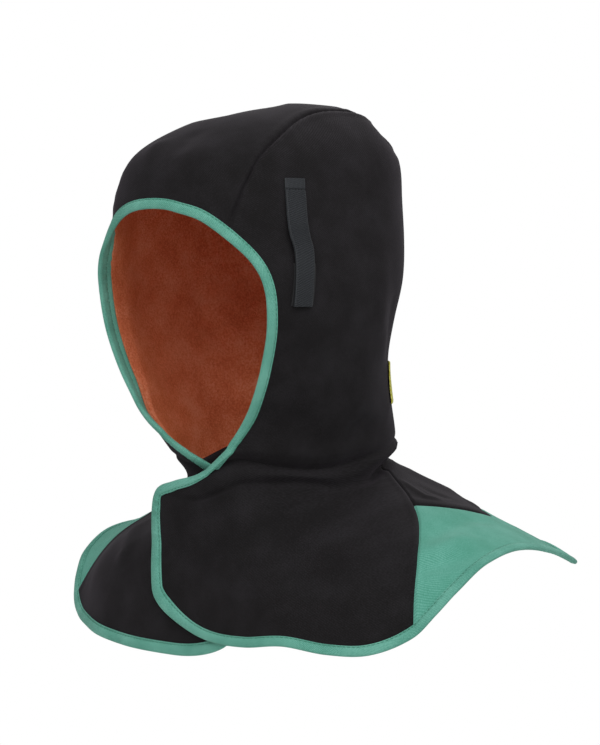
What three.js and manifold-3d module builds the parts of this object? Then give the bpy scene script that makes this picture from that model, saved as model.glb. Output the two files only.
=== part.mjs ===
// Welder's hood with a shoulder cape, standing in its worn shape.
// Millimetres, +Z up, the face looks along -Y, the wearer's left is +X.
// The origin is the crown of the head, where the lining bears on it.
import * as THREE from 'three';
import Manifolds from 'manifold-3d';

// Cloth, edging and clearances
const SHELL = 1.6;            // outer cloth
const LINING = 1.3;           // fleece lining
const LAYER_GAP = 0.6;        // between shell and lining
const LINING_TUCK = 0.5;      // the lining starts this far behind the binding
const SEAM_GAP = 0.2;         // half the gap between two sewn hood panels
const CAPE_SEAM = 0.0045;     // half the gap of the cape's side seams, radians
const YOKE_SEAM = 0.004;      // gap of the neck and yoke seams, fraction of the cape's length
const BIND_WIDTH = 10;        // edge binding, over each face
const BIND_THICK = 1.1;
const BIND_GAP = 0.85;
const BIND_TURN = 0.75;       // widest binding in a bend, share of its radius
const TRIM_GAP = 0.2;         // left round a piece that lies on another

// Hood sections at heights along the head. The widest place splits each section into a front half
// with the exponent square and a rear half with the exponent round.
const APEX_Z = 10;
const WIDEST = 0.58;          // share of the depth from front to back
const HOOD = [
  { z: 10,   front: 52,   back: 52,  half: 0,  square: 2.2, round: 2.05 },
  { z: 4,    front: 3,    back: 93,  half: 40, square: 2.2, round: 2.05 },
  { z: -10,  front: -45,  back: 110, half: 63, square: 2.3, round: 2.05 },
  { z: -31,  front: -82,  back: 119, half: 80, square: 2.4, round: 2.05 },
  { z: -59,  front: -98,  back: 120, half: 86, square: 2.4, round: 2.05 },
  { z: -87,  front: -107, back: 119, half: 90, square: 2.3, round: 2.05 },
  { z: -115, front: -121, back: 116, half: 92, square: 2.3, round: 2.05 },
  { z: -145, front: -117, back: 109, half: 90, square: 2.3, round: 1.95 },
  { z: -173, front: -104, back: 109, half: 84, square: 2.3, round: 1.85 },
  { z: -200, front: -88,  back: 118, half: 77, square: 2.2, round: 1.8 },
  { z: -225, front: -67,  back: 127, half: 70, square: 2.1, round: 1.85 },
  { z: -245, front: -52,  back: 126, half: 67, square: 2.0, round: 2.0 },
  { z: -270, front: -49,  back: 125, half: 67, square: 2.0, round: 2.0 },
];

// Face opening and neck seam in side view, and half width of the crown panel along the hood
// from the face opening (0) to the neck seam (1). Rings of the hood fan out about the chin.
const CHIN = { y: -59, z: -247, blend: 25 };
const RING_CENTRE = 110;      // distance of each ring's centre from the chin
const RING_REACH = 220;       // more than any ring's radius
const OPENING = [
  { z: -245, y: -51 }, { z: -225, y: -56 }, { z: -200, y: -61 }, { z: -175, y: -65 }, { z: -145, y: -69 },
  { z: -122, y: -73 }, { z: -105, y: -79.5 }, { z: -85, y: -92 }, { z: -62, y: -103 },
];
const NECK = [
  { y: -60, z: -247 }, { y: -20, z: -247 }, { y: 10, z: -245 }, { y: 45, z: -239 }, { y: 95, z: -230 },
  { y: 130, z: -226 },
];
const CROWN = [
  { t: 0, half: 62 }, { t: 0.12, half: 58 }, { t: 0.25, half: 49 }, { t: 0.4, half: 39 },
  { t: 0.55, half: 32 }, { t: 0.75, half: 28 }, { t: 1, half: 26 },
];
// Angles round the ring where the two side panels end at the chin, the left one over the right one
const CHIN_END = { left: 3.26, right: 3.02 };

// Cape, by angle round the neck from the front. Radii are about the neck's centre.
const CAPE_CENTRE_Y = 30;
const STAND = { out: 3, drop: 17 };
const CAPE_KNOTS = [0, 0.12, 0.5, 1];
const CAPE = [
  { deg: 0,   midR: 90,  midZ: -309, hemR: 100, hemZ: -356, rightDrop: 15, rightOut: 1 },
  { deg: 30,  midR: 103, midZ: -313, hemR: 116, hemZ: -355, rightDrop: 14, rightOut: 0 },
  { deg: 54,  midR: 121, midZ: -313, hemR: 141, hemZ: -357, rightDrop: 7,  rightOut: 0 },
  { deg: 74,  midR: 131, midZ: -304, hemR: 160, hemZ: -349, rightDrop: 2,  rightOut: 6 },
  { deg: 84,  midR: 131, midZ: -294, hemR: 169, hemZ: -322, rightDrop: 1,  rightOut: 11 },
  { deg: 93,  midR: 131, midZ: -287, hemR: 174, hemZ: -304, rightDrop: 2,  rightOut: 11 },
  { deg: 106, midR: 133, midZ: -281, hemR: 180, hemZ: -297, rightDrop: 3,  rightOut: 7 },
  { deg: 123, midR: 140, midZ: -279, hemR: 194, hemZ: -305, rightDrop: 2,  rightOut: 2 },
  { deg: 138, midR: 146, midZ: -279, hemR: 214, hemZ: -320, rightDrop: 0,  rightOut: 0 },
  { deg: 150, midR: 145, midZ: -278, hemR: 208, hemZ: -313, rightDrop: 0,  rightOut: 0 },
  { deg: 165, midR: 140, midZ: -279, hemR: 198, hemZ: -317, rightDrop: 0,  rightOut: 0 },
  { deg: 180, midR: 136, midZ: -281, hemR: 192, hemZ: -324, rightDrop: 0,  rightOut: 0 },
];
// Sewn edge of the front panels, border of the back yoke and free front edge
const RAGLAN = [
  { s: 0, deg: 140 }, { s: 0.15, deg: 124 }, { s: 0.35, deg: 97 }, { s: 0.55, deg: 83 },
  { s: 0.75, deg: 77 }, { s: 1, deg: 73 },
];
const YOKE = [
  { deg: 97, s: 0.34 }, { deg: 112, s: 0.41 }, { deg: 128, s: 0.53 }, { deg: 150, s: 0.58 },
  { deg: 180, s: 0.61 },
];
const FRONT_EDGE = [
  { s: 0, deg: 0 }, { s: 0.03, deg: -12 }, { s: 0.07, deg: -24 }, { s: 0.12, deg: -27 },
  { s: 0.2, deg: -26 }, { s: 0.35, deg: -21 }, { s: 0.55, deg: -15 }, { s: 0.75, deg: -10 },
  { s: 0.88, deg: -3 }, { s: 0.95, deg: 6 }, { s: 1, deg: 18 },
];
// The hidden right front reaches further, and starts to within this share of its length
const RIGHT_EDGE = { deg: 12, s: 0.1 };
// The left front lies over the right one, fading out between two angles, and a little less at the hem
const OVERLAP = { lift: 6, fromDeg: 62, toDeg: 32, hemFrom: 0.6, hemLoss: 0.4 };
// Its upper corner stands out more
const CORNER = { lift: 6, fromDeg: 5, toDeg: -25, inS: 0.07, fadeS: 0.14, endS: 0.4 };
// The left side panel rises on to it between these heights
const CHIN_RISE = { from: -205, to: -240 };

// Helmet strap centre line along its length, with its stand-off from the cloth
const STRAP = { width: 16, thick: 1.5 };
const STRAP_LINE = [
  { q: 0, y: -40, z: -49, off: 0.5 }, { q: 0.2, y: -42.5, z: -65, off: 1.6 },
  { q: 0.35, y: -43.5, z: -78, off: 2.4 }, { q: 0.5, y: -43.5, z: -88, off: 3.4 },
  { q: 0.62, y: -42, z: -97, off: 3.2 }, { q: 0.8, y: -43, z: -115, off: 2.2 },
  { q: 1, y: -43, z: -134, off: 1.8 },
];
const PATCH = { y: -46, z: -119, width: 17, height: 28, thick: 0.7, off: 0.6 };
const LABEL = { width: 100, top: -171, bottom: -200, thick: 0.8, off: 0.7, endLift: 3.2, endFrom: 0.55 };
const CLOSURE = { deg: 0, halfDeg: 11, s0: 0.3, s1: 0.62, thick: 1.6, off: 0.4 };

// Grid lines of each sheet
const RINGS = 22;
const CROWN_COLS = 9;
const SIDE_COLS = 14;
const FRONT_COLS = 16;
const YOKE_GRID = { rows: 6, cols: 17 };
const BACK_GRID = { rows: 8, cols: 27 };
const FRONT_ROWS = YOKE_GRID.rows + BACK_GRID.rows - 1;
const STRAP_ROWS = 14;
const LABEL_COLS = 11;
const CLOSURE_GRID = { rows: 5, cols: 4 };
// Stations of the cape binding along each front edge, closer towards the neck
const EDGE = { count: 13, from: 0.02, to: 0.985, power: 1.6 };

const COLOURS = {
  black: 0x1e1c1d, green: 0x4ba080, orange: 0xaa4823, webbing: 0x2a2b2d, yellow: 0xc8c23c, tape: 0x161616,
};

const rad = (degrees) => degrees * Math.PI / 180;
const deg = (radians) => radians * 180 / Math.PI;
const lerp = (a, b, t) => a + (b - a) * t;
const ramp = (a, b, v) => Math.min(1, Math.max(0, (v - a) / (b - a)));
const smooth = (a, b, v) => ramp(a, b, v) ** 2 * (3 - 2 * ramp(a, b, v));
const add = (a, b, k = 1) => [a[0] + b[0] * k, a[1] + b[1] * k, a[2] + b[2] * k];
const sub = (a, b) => add(a, b, -1);
const cross = (a, b) => [a[1] * b[2] - a[2] * b[1], a[2] * b[0] - a[0] * b[2], a[0] * b[1] - a[1] * b[0]];
const dot = (a, b) => a[0] * b[0] + a[1] * b[1] + a[2] * b[2];
const len = (a) => Math.hypot(...a);
const unit = (a) => a.map((v) => v / (len(a) || 1));
const radial = (a) => [Math.sin(a), -Math.cos(a), 0];
const range = (count, make) => Array.from({ length: count }, (_, i) => make(i));

// Smooth curve through table values
function spline(xs, ys, x) {
  const last = xs.length - 1;
  const v = Math.min(xs[last], Math.max(xs[0], x));
  let i = 0;
  while (i < last - 1 && v > xs[i + 1]) i++;
  const slope = (k) => {
    const a = Math.max(k - 1, 0);
    const b = Math.min(k + 1, last);
    return (ys[b] - ys[a]) / (xs[b] - xs[a]);
  };
  const h = xs[i + 1] - xs[i];
  const t = (v - xs[i]) / h;
  const t2 = t * t;
  const t3 = t2 * t;
  return (2 * t3 - 3 * t2 + 1) * ys[i] + (t3 - 2 * t2 + t) * h * slope(i)
    + (3 * t2 - 2 * t3) * ys[i + 1] + (t3 - t2) * h * slope(i + 1);
}
function column(rows, xOf, yOf) {
  const xs = rows.map(xOf);
  const ys = rows.map(yOf);
  return (v) => spline(xs, ys, v);
}
function bisect(inside, from, to) {
  let lo = from;
  let hi = to;
  for (let i = 0; i < 40; i++) {
    const middle = (lo + hi) / 2;
    if (inside(middle)) lo = middle;
    else hi = middle;
  }
  return lo;
}

// Hood surface
const depthOf = (row) => Math.sqrt(APEX_Z - row.z);
const hoodFront = column(HOOD, depthOf, (r) => r.front);
const hoodBack = column(HOOD, depthOf, (r) => r.back);
const hoodHalf = column(HOOD, depthOf, (r) => r.half);
const hoodSquare = column(HOOD, depthOf, (r) => r.square);
const hoodRound = column(HOOD, depthOf, (r) => r.round);
function inHood([x, y, z]) {
  if (z >= APEX_Z) return false;
  const d = depthOf({ z });
  const front = hoodFront(d);
  const back = hoodBack(d);
  const centre = lerp(front, back, WIDEST);
  const power = y < centre ? hoodSquare(d) : hoodRound(d);
  const reach = y < centre ? centre - front : back - centre;
  return (Math.abs(x) / hoodHalf(d)) ** power + (Math.abs(y - centre) / reach) ** power < 1;
}
const openingY = column(OPENING, (r) => r.z, (r) => r.y);
const neckZ = column(NECK, (r) => r.y, (r) => r.z);
const crownHalf = column(CROWN, (r) => r.t, (r) => r.half);

// Angle of the face opening and of the neck seam about the chin, at a distance from it
function openingAngle(r) {
  const d = Math.max(r, CHIN.blend);
  let a = Math.PI / 2;
  for (let i = 0; i < 8; i++) {
    const z = CHIN.z + d * Math.sin(a);
    a = Math.atan2(z - CHIN.z, openingY(z) - CHIN.y);
  }
  return a;
}
function neckAngle(r) {
  const d = Math.max(r, CHIN.blend);
  let a = 0;
  for (let i = 0; i < 8; i++) {
    const y = CHIN.y + d * Math.cos(a);
    a = Math.atan2(neckZ(y) - CHIN.z, y - CHIN.y);
  }
  return a;
}

// Point of the hood on ring t (0 face opening, 1 neck seam) at angle psi from the top, + to the left
function hood(t, psi) {
  const at = (l) => {
    const r = RING_CENTRE + l * Math.cos(psi);
    const a = lerp(openingAngle(r), neckAngle(r), t);
    return [l * Math.sin(psi), CHIN.y + r * Math.cos(a), CHIN.z + r * Math.sin(a)];
  };
  return at(bisect((l) => inHood(at(l)), 0, RING_REACH));
}
function hoodNormal(t, psi) {
  const e = 1e-3;
  const along = sub(hood(Math.min(1, t + e), psi), hood(Math.max(0, t - e), psi));
  const round = sub(hood(t, psi + e), hood(t, psi - e));
  return unit(cross(round, along));
}
const crownAngles = new Map();
function crownAngle(t) {
  if (!crownAngles.has(t)) {
    crownAngles.set(t, bisect((psi) => hood(t, psi)[0] < crownHalf(t), 0, Math.PI / 2));
  }
  return crownAngles.get(t);
}
// Hood point on a level line, towards the left side or the back
const hoodSide = (y, z) => [bisect((x) => inHood([x, y, z]), 0, RING_REACH), y, z];
const hoodRear = (x, z) => [x, bisect((y) => inHood([x, y, z]), CAPE_CENTRE_Y, RING_REACH), z];
function levelNormal(at, u, v) {
  const e = 0.5;
  return unit(cross(sub(at(u + e, v), at(u - e, v)), sub(at(u, v + e), at(u, v - e))));
}

// Cape surface at angle a from the front (+ to the left) and fraction s from neck seam to hem
function capeColumn(key) {
  const before = { ...CAPE[1], deg: -CAPE[1].deg };
  const after = { ...CAPE.at(-2), deg: 360 - CAPE.at(-2).deg };
  return column([before, ...CAPE, after], (r) => r.deg, (r) => r[key]);
}
const midR = capeColumn('midR');
const midZ = capeColumn('midZ');
const hemR = capeColumn('hemR');
const hemZ = capeColumn('hemZ');
const rightDrop = capeColumn('rightDrop');
const rightOut = capeColumn('rightOut');
function neckPoint(a) {
  const at = (r) => {
    const y = CAPE_CENTRE_Y - r * Math.cos(a);
    return [r * Math.sin(a), y, neckZ(y)];
  };
  const r = bisect((v) => inHood(at(v)), 0, RING_REACH);
  return { r, z: at(r)[2] };
}
function lift(a, s) {
  const over = smooth(rad(OVERLAP.fromDeg), rad(OVERLAP.toDeg), a);
  const corner = smooth(rad(CORNER.fromDeg), rad(CORNER.toDeg), a) * smooth(0, CORNER.inS, s);
  return OVERLAP.lift * over * (1 - OVERLAP.hemLoss * smooth(OVERLAP.hemFrom, 1, s))
    + CORNER.lift * corner * (1 - smooth(CORNER.fadeS, CORNER.endS, s));
}
function cape(a, s, side) {
  const turn = Math.abs(deg(Math.atan2(Math.sin(a), Math.cos(a))));
  const right = side < 0 ? 1 : 0;
  const neck = neckPoint(a);
  const radii = [neck.r, neck.r + STAND.out, midR(turn), hemR(turn) + right * rightOut(turn)];
  const heights = [neck.z, neck.z - STAND.drop, midZ(turn), hemZ(turn) - right * rightDrop(turn)];
  const out = spline(CAPE_KNOTS, radii, s) + (side > 0 ? lift(a, s) : 0);
  return add([0, CAPE_CENTRE_Y, spline(CAPE_KNOTS, heights, s)], radial(a), out);
}
function capeNormal(a, s, side) {
  const e = 2e-3;
  const round = sub(cape(a + e, s, side), cape(a - e, s, side));
  const down = sub(cape(a, Math.min(1, s + e), side), cape(a, Math.max(0, s - e), side));
  return unit(cross(down, round));
}
const raglan = column(RAGLAN, (r) => r.s, (r) => rad(r.deg));
const yokeBorder = column(YOKE, (r) => r.deg, (r) => r.s);
const frontEdge = column(FRONT_EDGE, (r) => r.s, (r) => rad(r.deg));
function edgeAngle(s, side) {
  const further = side < 0 ? rad(RIGHT_EDGE.deg) * smooth(0, RIGHT_EDGE.s, s) : 0;
  return frontEdge(s) - further;
}

// Solids. Each is kept with a copy grown on all sides, which pieces lying on it are cut by.
const cloth = (color, roughness = 0.95) => new THREE.MeshStandardMaterial({ color, roughness, metalness: 0 });
const wasm = await Manifolds();
wasm.setup();
const solids = new Map();
function manifold(points, faces) {
  const volume = faces.reduce((sum, [a, b, c]) => sum + dot(points[a], cross(points[b], points[c])), 0);
  const triVerts = new Uint32Array(faces.flatMap(([a, b, c]) => (volume > 0 ? [a, b, c] : [a, c, b])));
  const mesh = new wasm.Mesh({ numProp: 3, vertProperties: new Float32Array(points.flat()), triVerts });
  mesh.merge();
  return new wasm.Manifold(mesh);
}
function sheetSolid(grid, low, high) {
  const rows = grid.length;
  const cols = grid[0].length;
  const points = [low, high].flatMap((off) => grid.flatMap((row) => row.map((g) => add(g.p, g.n, off))));
  const faces = [];
  const id = (k, i, j) => k * rows * cols + i * cols + j;
  const quad = (a, b, c, d) => faces.push([a, b, c], [a, c, d]);
  const wall = ([i, j], [k, l]) => quad(id(0, i, j), id(0, k, l), id(1, k, l), id(1, i, j));
  for (let i = 0; i < rows - 1; i++) {
    for (let j = 0; j < cols - 1; j++) {
      quad(id(1, i, j), id(1, i + 1, j), id(1, i + 1, j + 1), id(1, i, j + 1));
      quad(id(0, i + 1, j + 1), id(0, i + 1, j), id(0, i, j), id(0, i, j + 1));
    }
    wall([i, 0], [i + 1, 0]);
    wall([i + 1, cols - 1], [i, cols - 1]);
  }
  for (let j = 0; j < cols - 1; j++) {
    wall([0, j + 1], [0, j]);
    wall([rows - 1, j], [rows - 1, j + 1]);
  }
  return manifold(points, faces);
}
function grownLine(line) {
  const out = (end, next) => ({ p: add(end.p, unit(sub(end.p, next.p)), TRIM_GAP), n: end.n });
  return [out(line[0], line[1]), ...line.slice(1, -1), out(line.at(-1), line.at(-2))];
}
const transpose = (grid) => grid[0].map((_, j) => grid.map((row) => row[j]));
const grown = (grid) => transpose(transpose(grid.map(grownLine)).map(grownLine));
// A sheet of cloth between two offsets from a grid of surface points p with normals n
function sheet(name, grid, low, high, material) {
  const clear = sheetSolid(grown(grid), low - TRIM_GAP, high + TRIM_GAP);
  solids.set(name, { solid: sheetSolid(grid, low, high), clear, material });
}
// A binding folded over an edge. Each station gives the point at a distance in from the edge, at a height
// over the cloth's outer face.
function binding(name, stations, material) {
  const outer = BIND_GAP + BIND_THICK;
  const bend = BIND_GAP + 0.7 * BIND_THICK;
  const profile = [
    [1, outer], [0, outer], [-bend, 0], [-outer, -SHELL / 2], [-bend, -SHELL], [0, -SHELL - outer],
    [1, -SHELL - outer], [1, -SHELL - BIND_GAP], [-BIND_GAP, -SHELL - BIND_GAP], [-BIND_GAP, BIND_GAP],
    [1, BIND_GAP],
  ];
  const ends = [
    [0, 1, 9], [0, 9, 10], [1, 2, 9], [2, 3, 9], [3, 8, 9], [3, 4, 8], [4, 5, 8], [5, 6, 7], [5, 7, 8],
  ];
  const n = profile.length;
  const points = stations.flatMap(({ width, at }) => profile.map(([e, h]) => at(e > 0 ? width : e, h)));
  const last = points.length - n;
  const faces = ends.flatMap(([a, b, c]) => [[a, b, c], [last + a, last + c, last + b]]);
  for (let i = 0; i < last; i += n) {
    for (let j = 0; j < n; j++) {
      const k = (j + 1) % n;
      faces.push([i + j, i + n + j, i + n + k], [i + j, i + n + k, i + k]);
    }
  }
  const solid = manifold(points, faces);
  solids.set(name, { solid, clear: solid, material });
}
// Trim a piece back from the pieces it lies on
function trim(name, others) {
  const piece = solids.get(name);
  for (const other of others) piece.solid = piece.solid.subtract(solids.get(other).clear);
  piece.solid = piece.solid.decompose().sort((a, b) => b.volume() - a.volume())[0];
}

// Hood panels. The first two rings bound the binding, and the others run on to the neck seam.
const PACE = 0.02;
const bindingT = (psi) => PACE * BIND_WIDTH / len(sub(hood(PACE, psi), hood(0, psi)));
const neckSeamT = (psi) => 1 - PACE * SEAM_GAP / len(sub(hood(1, psi), hood(1 - PACE, psi)));
const ringT = (i, psi) => (i < 1 ? 0 : lerp(bindingT(psi), neckSeamT(psi), (i - 1) / (RINGS - 2)));
const crownSeam = (t) => PACE * SEAM_GAP / len(sub(hood(t, crownAngle(t) + PACE), hood(t, crownAngle(t))));
function chinRise(p) {
  const a = Math.atan2(p[0], CAPE_CENTRE_Y - p[1]);
  return add(p, radial(a), lift(a, 0) * smooth(CHIN_RISE.from, CHIN_RISE.to, p[2]));
}
function hoodPoint(i, psiOf, side) {
  let t = i / RINGS;
  for (let k = 0; k < 2; k++) t = ringT(i, psiOf(t));
  const p = hood(t, psiOf(t));
  return { p: side > 0 ? chinRise(p) : p, n: hoodNormal(t, psiOf(t)) };
}
const crownPsi = (j) => (t) => (2 * j / (CROWN_COLS - 1) - 1) * (crownAngle(t) - crownSeam(t));
const sidePsi = (j, side) => (t) => {
  const end = side > 0 ? CHIN_END.left : CHIN_END.right;
  return side * lerp(crownAngle(t) + crownSeam(t), end, j / (SIDE_COLS - 1));
};
const sideColumns = (side) => range(SIDE_COLS, (j) => (
  range(RINGS, (i) => hoodPoint(i, sidePsi(j, side), side))
));
const crownColumns = range(CROWN_COLS, (j) => range(RINGS, (i) => hoodPoint(i, crownPsi(j), 0)));
const leftColumns = sideColumns(1);
const rightColumns = sideColumns(-1);
sheet('crown_panel', crownColumns, -SHELL, 0, cloth(COLOURS.black));
sheet('side_panel_left', leftColumns, -SHELL, 0, cloth(COLOURS.black));
sheet('side_panel_right', rightColumns, -SHELL, 0, cloth(COLOURS.black));

// Lining inside the panels, on every other one of their lines, from the binding to the neck
const odd = (_, j) => j % 2 === 1;
const liningColumns = [
  ...rightColumns.slice(0, -1).filter(odd).reverse(), ...crownColumns.filter(odd),
  ...leftColumns.slice(0, -1).filter(odd),
];
const liningGrid = liningColumns.map(([, first, next, ...rest]) => {
  const start = { p: add(first.p, unit(sub(next.p, first.p)), LINING_TUCK), n: first.n };
  return [start, next, ...rest];
});
sheet('hood_lining', liningGrid, -SHELL - LAYER_GAP - LINING, -SHELL - LAYER_GAP, cloth(COLOURS.orange));

// Face binding, on the panels' lines, with one line at each panel seam
const faceColumns = [...rightColumns.slice(1).reverse(), ...crownColumns, ...leftColumns.slice(1)];
const faceStations = faceColumns.map(([edge, inner]) => {
  const out = unit(sub(edge.p, inner.p));
  const at = (d, h) => (d > 0 ? add(inner.p, inner.n, h) : add(add(edge.p, edge.n, h), out, -d));
  return { width: BIND_WIDTH, at };
});
binding('face_binding', faceStations, cloth(COLOURS.green));

// Cape panels. The front panels' lines meet those of the yoke and of the back panel at the side seams.
const backSide = (a) => (a > Math.PI ? -1 : 1);
const capePoint = (a, s, side) => ({ p: cape(a, s, side), n: capeNormal(a, s, side) });
const backAngle = (s, u) => lerp(raglan(s) + CAPE_SEAM, 2 * Math.PI - raglan(s) - CAPE_SEAM, u);
function borderS(u) {
  let s = YOKE[0].s;
  for (let k = 0; k < 12; k++) s = yokeBorder(180 - Math.abs(180 - deg(backAngle(s, u))));
  return s;
}
const yokeS = (i, u) => lerp(YOKE_SEAM, borderS(u) - YOKE_SEAM / 2, i / (YOKE_GRID.rows - 1));
const panelS = (i, u) => lerp(borderS(u) + YOKE_SEAM / 2, 1, i / (BACK_GRID.rows - 1));
const frontS = (i) => (i < YOKE_GRID.rows ? yokeS(i, 0) : panelS(i - YOKE_GRID.rows + 1, 0));
const frontGrid = (side) => range(FRONT_ROWS, (i) => range(FRONT_COLS, (j) => {
  const s = frontS(i);
  const a = lerp(edgeAngle(s, side), raglan(s) - CAPE_SEAM, j / (FRONT_COLS - 1));
  return capePoint(side * a, s, side);
}));
const backGrid = ({ rows, cols }, sOf) => range(rows, (i) => range(cols, (j) => {
  const u = j / (cols - 1);
  const s = sOf(i, u);
  const a = backAngle(s, u);
  return capePoint(a, s, backSide(a));
}));
sheet('cape_front_left', frontGrid(1), -SHELL, 0, cloth(COLOURS.black));
sheet('cape_front_right', frontGrid(-1), -SHELL, 0, cloth(COLOURS.black));
sheet('back_yoke', backGrid(YOKE_GRID, yokeS), -SHELL, 0, cloth(COLOURS.black));
sheet('back_panel', backGrid(BACK_GRID, panelS), -SHELL, 0, cloth(COLOURS.green));

// Cape binding: down the left front edge, round the hem and up the right front edge
const edgeS = range(EDGE.count, (i) => lerp(EDGE.from, EDGE.to, (i / (EDGE.count - 1)) ** EDGE.power));
const full = 2 * Math.PI;
const frontHem = (side) => range(FRONT_COLS - 2, (j) => {
  const u = (j + 1) / (FRONT_COLS - 1);
  return lerp(edgeAngle(1, side), raglan(1), u);
});
const hemAngles = [
  ...frontHem(1), ...range(BACK_GRID.cols, (j) => backAngle(1, j / (BACK_GRID.cols - 1))),
  ...frontHem(-1).map((a) => full - a).reverse(),
];
const path = [
  ...edgeS.map((s) => ({ a: edgeAngle(s, 1), s, side: 1 })),
  ...hemAngles.map((a) => ({ a, s: 1, side: backSide(a) })),
  ...edgeS.map((s) => ({ a: full - edgeAngle(s, -1), s, side: -1 })).reverse(),
];
const edgePoints = path.map(({ a, s, side }) => cape(a, s, side));
const around = (list, k) => [list[Math.max(0, k - 1)], list[k], list[Math.min(list.length - 1, k + 1)]];
const bendRadii = edgePoints.map((_, k) => {
  const [a, p, b] = around(edgePoints, k);
  const area = len(cross(sub(p, a), sub(b, a)));
  return area > 0 ? len(sub(p, a)) * len(sub(b, p)) * len(sub(b, a)) / (2 * area) : RING_REACH;
});
const capeStations = path.map(({ a, s, side }, k) => {
  const e = 1e-3;
  const { p, n } = capePoint(a, s, side);
  const [before, , after] = around(edgePoints, k);
  const inward = unit(cross(n, sub(after, before)));
  const perAngle = sub(cape(a + e, s, side), p).map((v) => v / e);
  const perS = sub(p, cape(a, s - e, side)).map((v) => v / e);
  const aa = dot(perAngle, perAngle);
  const ss = dot(perS, perS);
  const as = dot(perAngle, perS);
  const da = (dot(inward, perAngle) * ss - dot(inward, perS) * as) / (aa * ss - as * as);
  const ds = (dot(inward, perS) * aa - dot(inward, perAngle) * as) / (aa * ss - as * as);
  const at = (d, h) => {
    if (d <= 0) return add(add(p, n, h), inward, d);
    const inner = capePoint(a + da * d, Math.max(e, s + ds * d), side);
    return add(inner.p, inner.n, h);
  };
  return { width: Math.min(BIND_WIDTH, BIND_TURN * Math.min(...around(bendRadii, k))), at };
});
binding('cape_binding', capeStations, cloth(COLOURS.green));

// Helmet straps, their tape patches, the neck label and the front fastening
const mirrorX = ([x, y, z]) => [-x, y, z];
const mirrored = (grid) => grid.map((row) => row.map(({ p, n }) => ({ p: mirrorX(p), n: mirrorX(n) })));
const lineY = column(STRAP_LINE, (r) => r.q, (r) => r.y);
const lineZ = column(STRAP_LINE, (r) => r.q, (r) => r.z);
const lineOff = column(STRAP_LINE, (r) => r.q, (r) => r.off);
const across = [-0.5, 0, 0.5];
function onSide(y, z, off) {
  const n = levelNormal(hoodSide, y, z);
  return { p: add(hoodSide(y, z), n, off), n };
}
function onBack(x, z, off) {
  const n = levelNormal(hoodRear, x, z).map((v) => -v);
  return { p: add(hoodRear(x, z), n, off), n };
}
const strapGrid = range(STRAP_ROWS, (i) => across.map((c) => {
  const q = i / (STRAP_ROWS - 1);
  return onSide(lineY(q) + c * STRAP.width, lineZ(q), lineOff(q));
}));
const patchGrid = across.map((v) => across.map((c) => (
  onSide(PATCH.y + c * PATCH.width, PATCH.z - v * PATCH.height, PATCH.off)
)));
const labelGrid = across.map((v) => range(LABEL_COLS, (j) => {
  const c = j / (LABEL_COLS - 1) - 0.5;
  const off = LABEL.off + LABEL.endLift * smooth(LABEL.endFrom, 1, Math.abs(2 * c));
  return onBack(c * LABEL.width, lerp(LABEL.top, LABEL.bottom, v + 0.5), off);
}));
const closureGrid = range(CLOSURE_GRID.rows, (i) => range(CLOSURE_GRID.cols, (j) => {
  const s = lerp(CLOSURE.s0, CLOSURE.s1, i / (CLOSURE_GRID.rows - 1));
  return capePoint(rad(CLOSURE.deg + CLOSURE.halfDeg * (2 * j / (CLOSURE_GRID.cols - 1) - 1)), s, -1);
}));
for (const [side, turn] of [['left', (grid) => grid], ['right', mirrored]]) {
  sheet(`helmet_strap_${side}`, turn(strapGrid), 0, STRAP.thick, cloth(COLOURS.webbing));
  sheet(`strap_patch_${side}`, turn(patchGrid), 0, PATCH.thick, cloth(COLOURS.tape));
}
sheet('neck_label', labelGrid, 0, LABEL.thick, cloth(COLOURS.yellow, 0.6));
sheet('front_closure', closureGrid, CLOSURE.off, CLOSURE.off + CLOSURE.thick, cloth(COLOURS.tape));

const sides = ['side_panel_left', 'side_panel_right'];
const fronts = ['cape_front_left', 'cape_front_right'];
trim('face_binding', ['crown_panel', ...sides, 'hood_lining']);
trim('cape_binding', [...fronts, ...sides, 'back_panel', 'face_binding', 'front_closure']);
trim('neck_label', ['crown_panel', ...sides]);
for (const side of ['left', 'right']) {
  trim(`strap_patch_${side}`, [`side_panel_${side}`]);
  trim(`helmet_strap_${side}`, [`side_panel_${side}`, `strap_patch_${side}`]);
}

const group = new THREE.Group();
group.name = 'welders_hood';
for (const [name, { solid, material }] of solids) {
  const { vertProperties, triVerts } = solid.getMesh();
  const geometry = new THREE.BufferGeometry();
  geometry.setAttribute('position', new THREE.Float32BufferAttribute(vertProperties, 3));
  geometry.setIndex(Array.from(triVerts));
  geometry.computeVertexNormals();
  const mesh = new THREE.Mesh(geometry, material);
  mesh.name = name;
  group.add(mesh);
}

export default group;
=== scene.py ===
# Welder's flame-resistant hood with a shoulder cape, in its worn shape.
# Sizes are in millimetres in the row's frame: +Z up, -Y out of the face opening, +X to the wearer's left.
import bpy
import numpy as np
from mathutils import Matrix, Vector


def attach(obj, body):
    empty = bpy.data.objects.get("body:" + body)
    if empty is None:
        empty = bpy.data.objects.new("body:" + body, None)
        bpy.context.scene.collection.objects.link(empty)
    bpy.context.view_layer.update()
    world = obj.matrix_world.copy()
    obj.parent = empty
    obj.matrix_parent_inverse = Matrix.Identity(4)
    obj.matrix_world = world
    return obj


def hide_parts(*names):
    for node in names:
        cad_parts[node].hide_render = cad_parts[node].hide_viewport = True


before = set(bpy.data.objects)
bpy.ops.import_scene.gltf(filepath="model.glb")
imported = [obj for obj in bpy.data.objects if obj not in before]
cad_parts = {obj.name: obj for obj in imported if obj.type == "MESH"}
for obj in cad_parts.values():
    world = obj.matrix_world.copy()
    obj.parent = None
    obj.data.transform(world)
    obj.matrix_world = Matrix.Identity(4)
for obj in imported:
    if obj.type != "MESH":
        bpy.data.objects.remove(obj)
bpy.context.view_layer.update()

# Hood panels
# A crown strip between two side panels, cut from brushed black flame-resistant cotton twill.
# They are sewn along two seams from the brow to the nape, with the turnings pressed to the sides.
MM = 0.001
SHELL = 1.6
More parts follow.
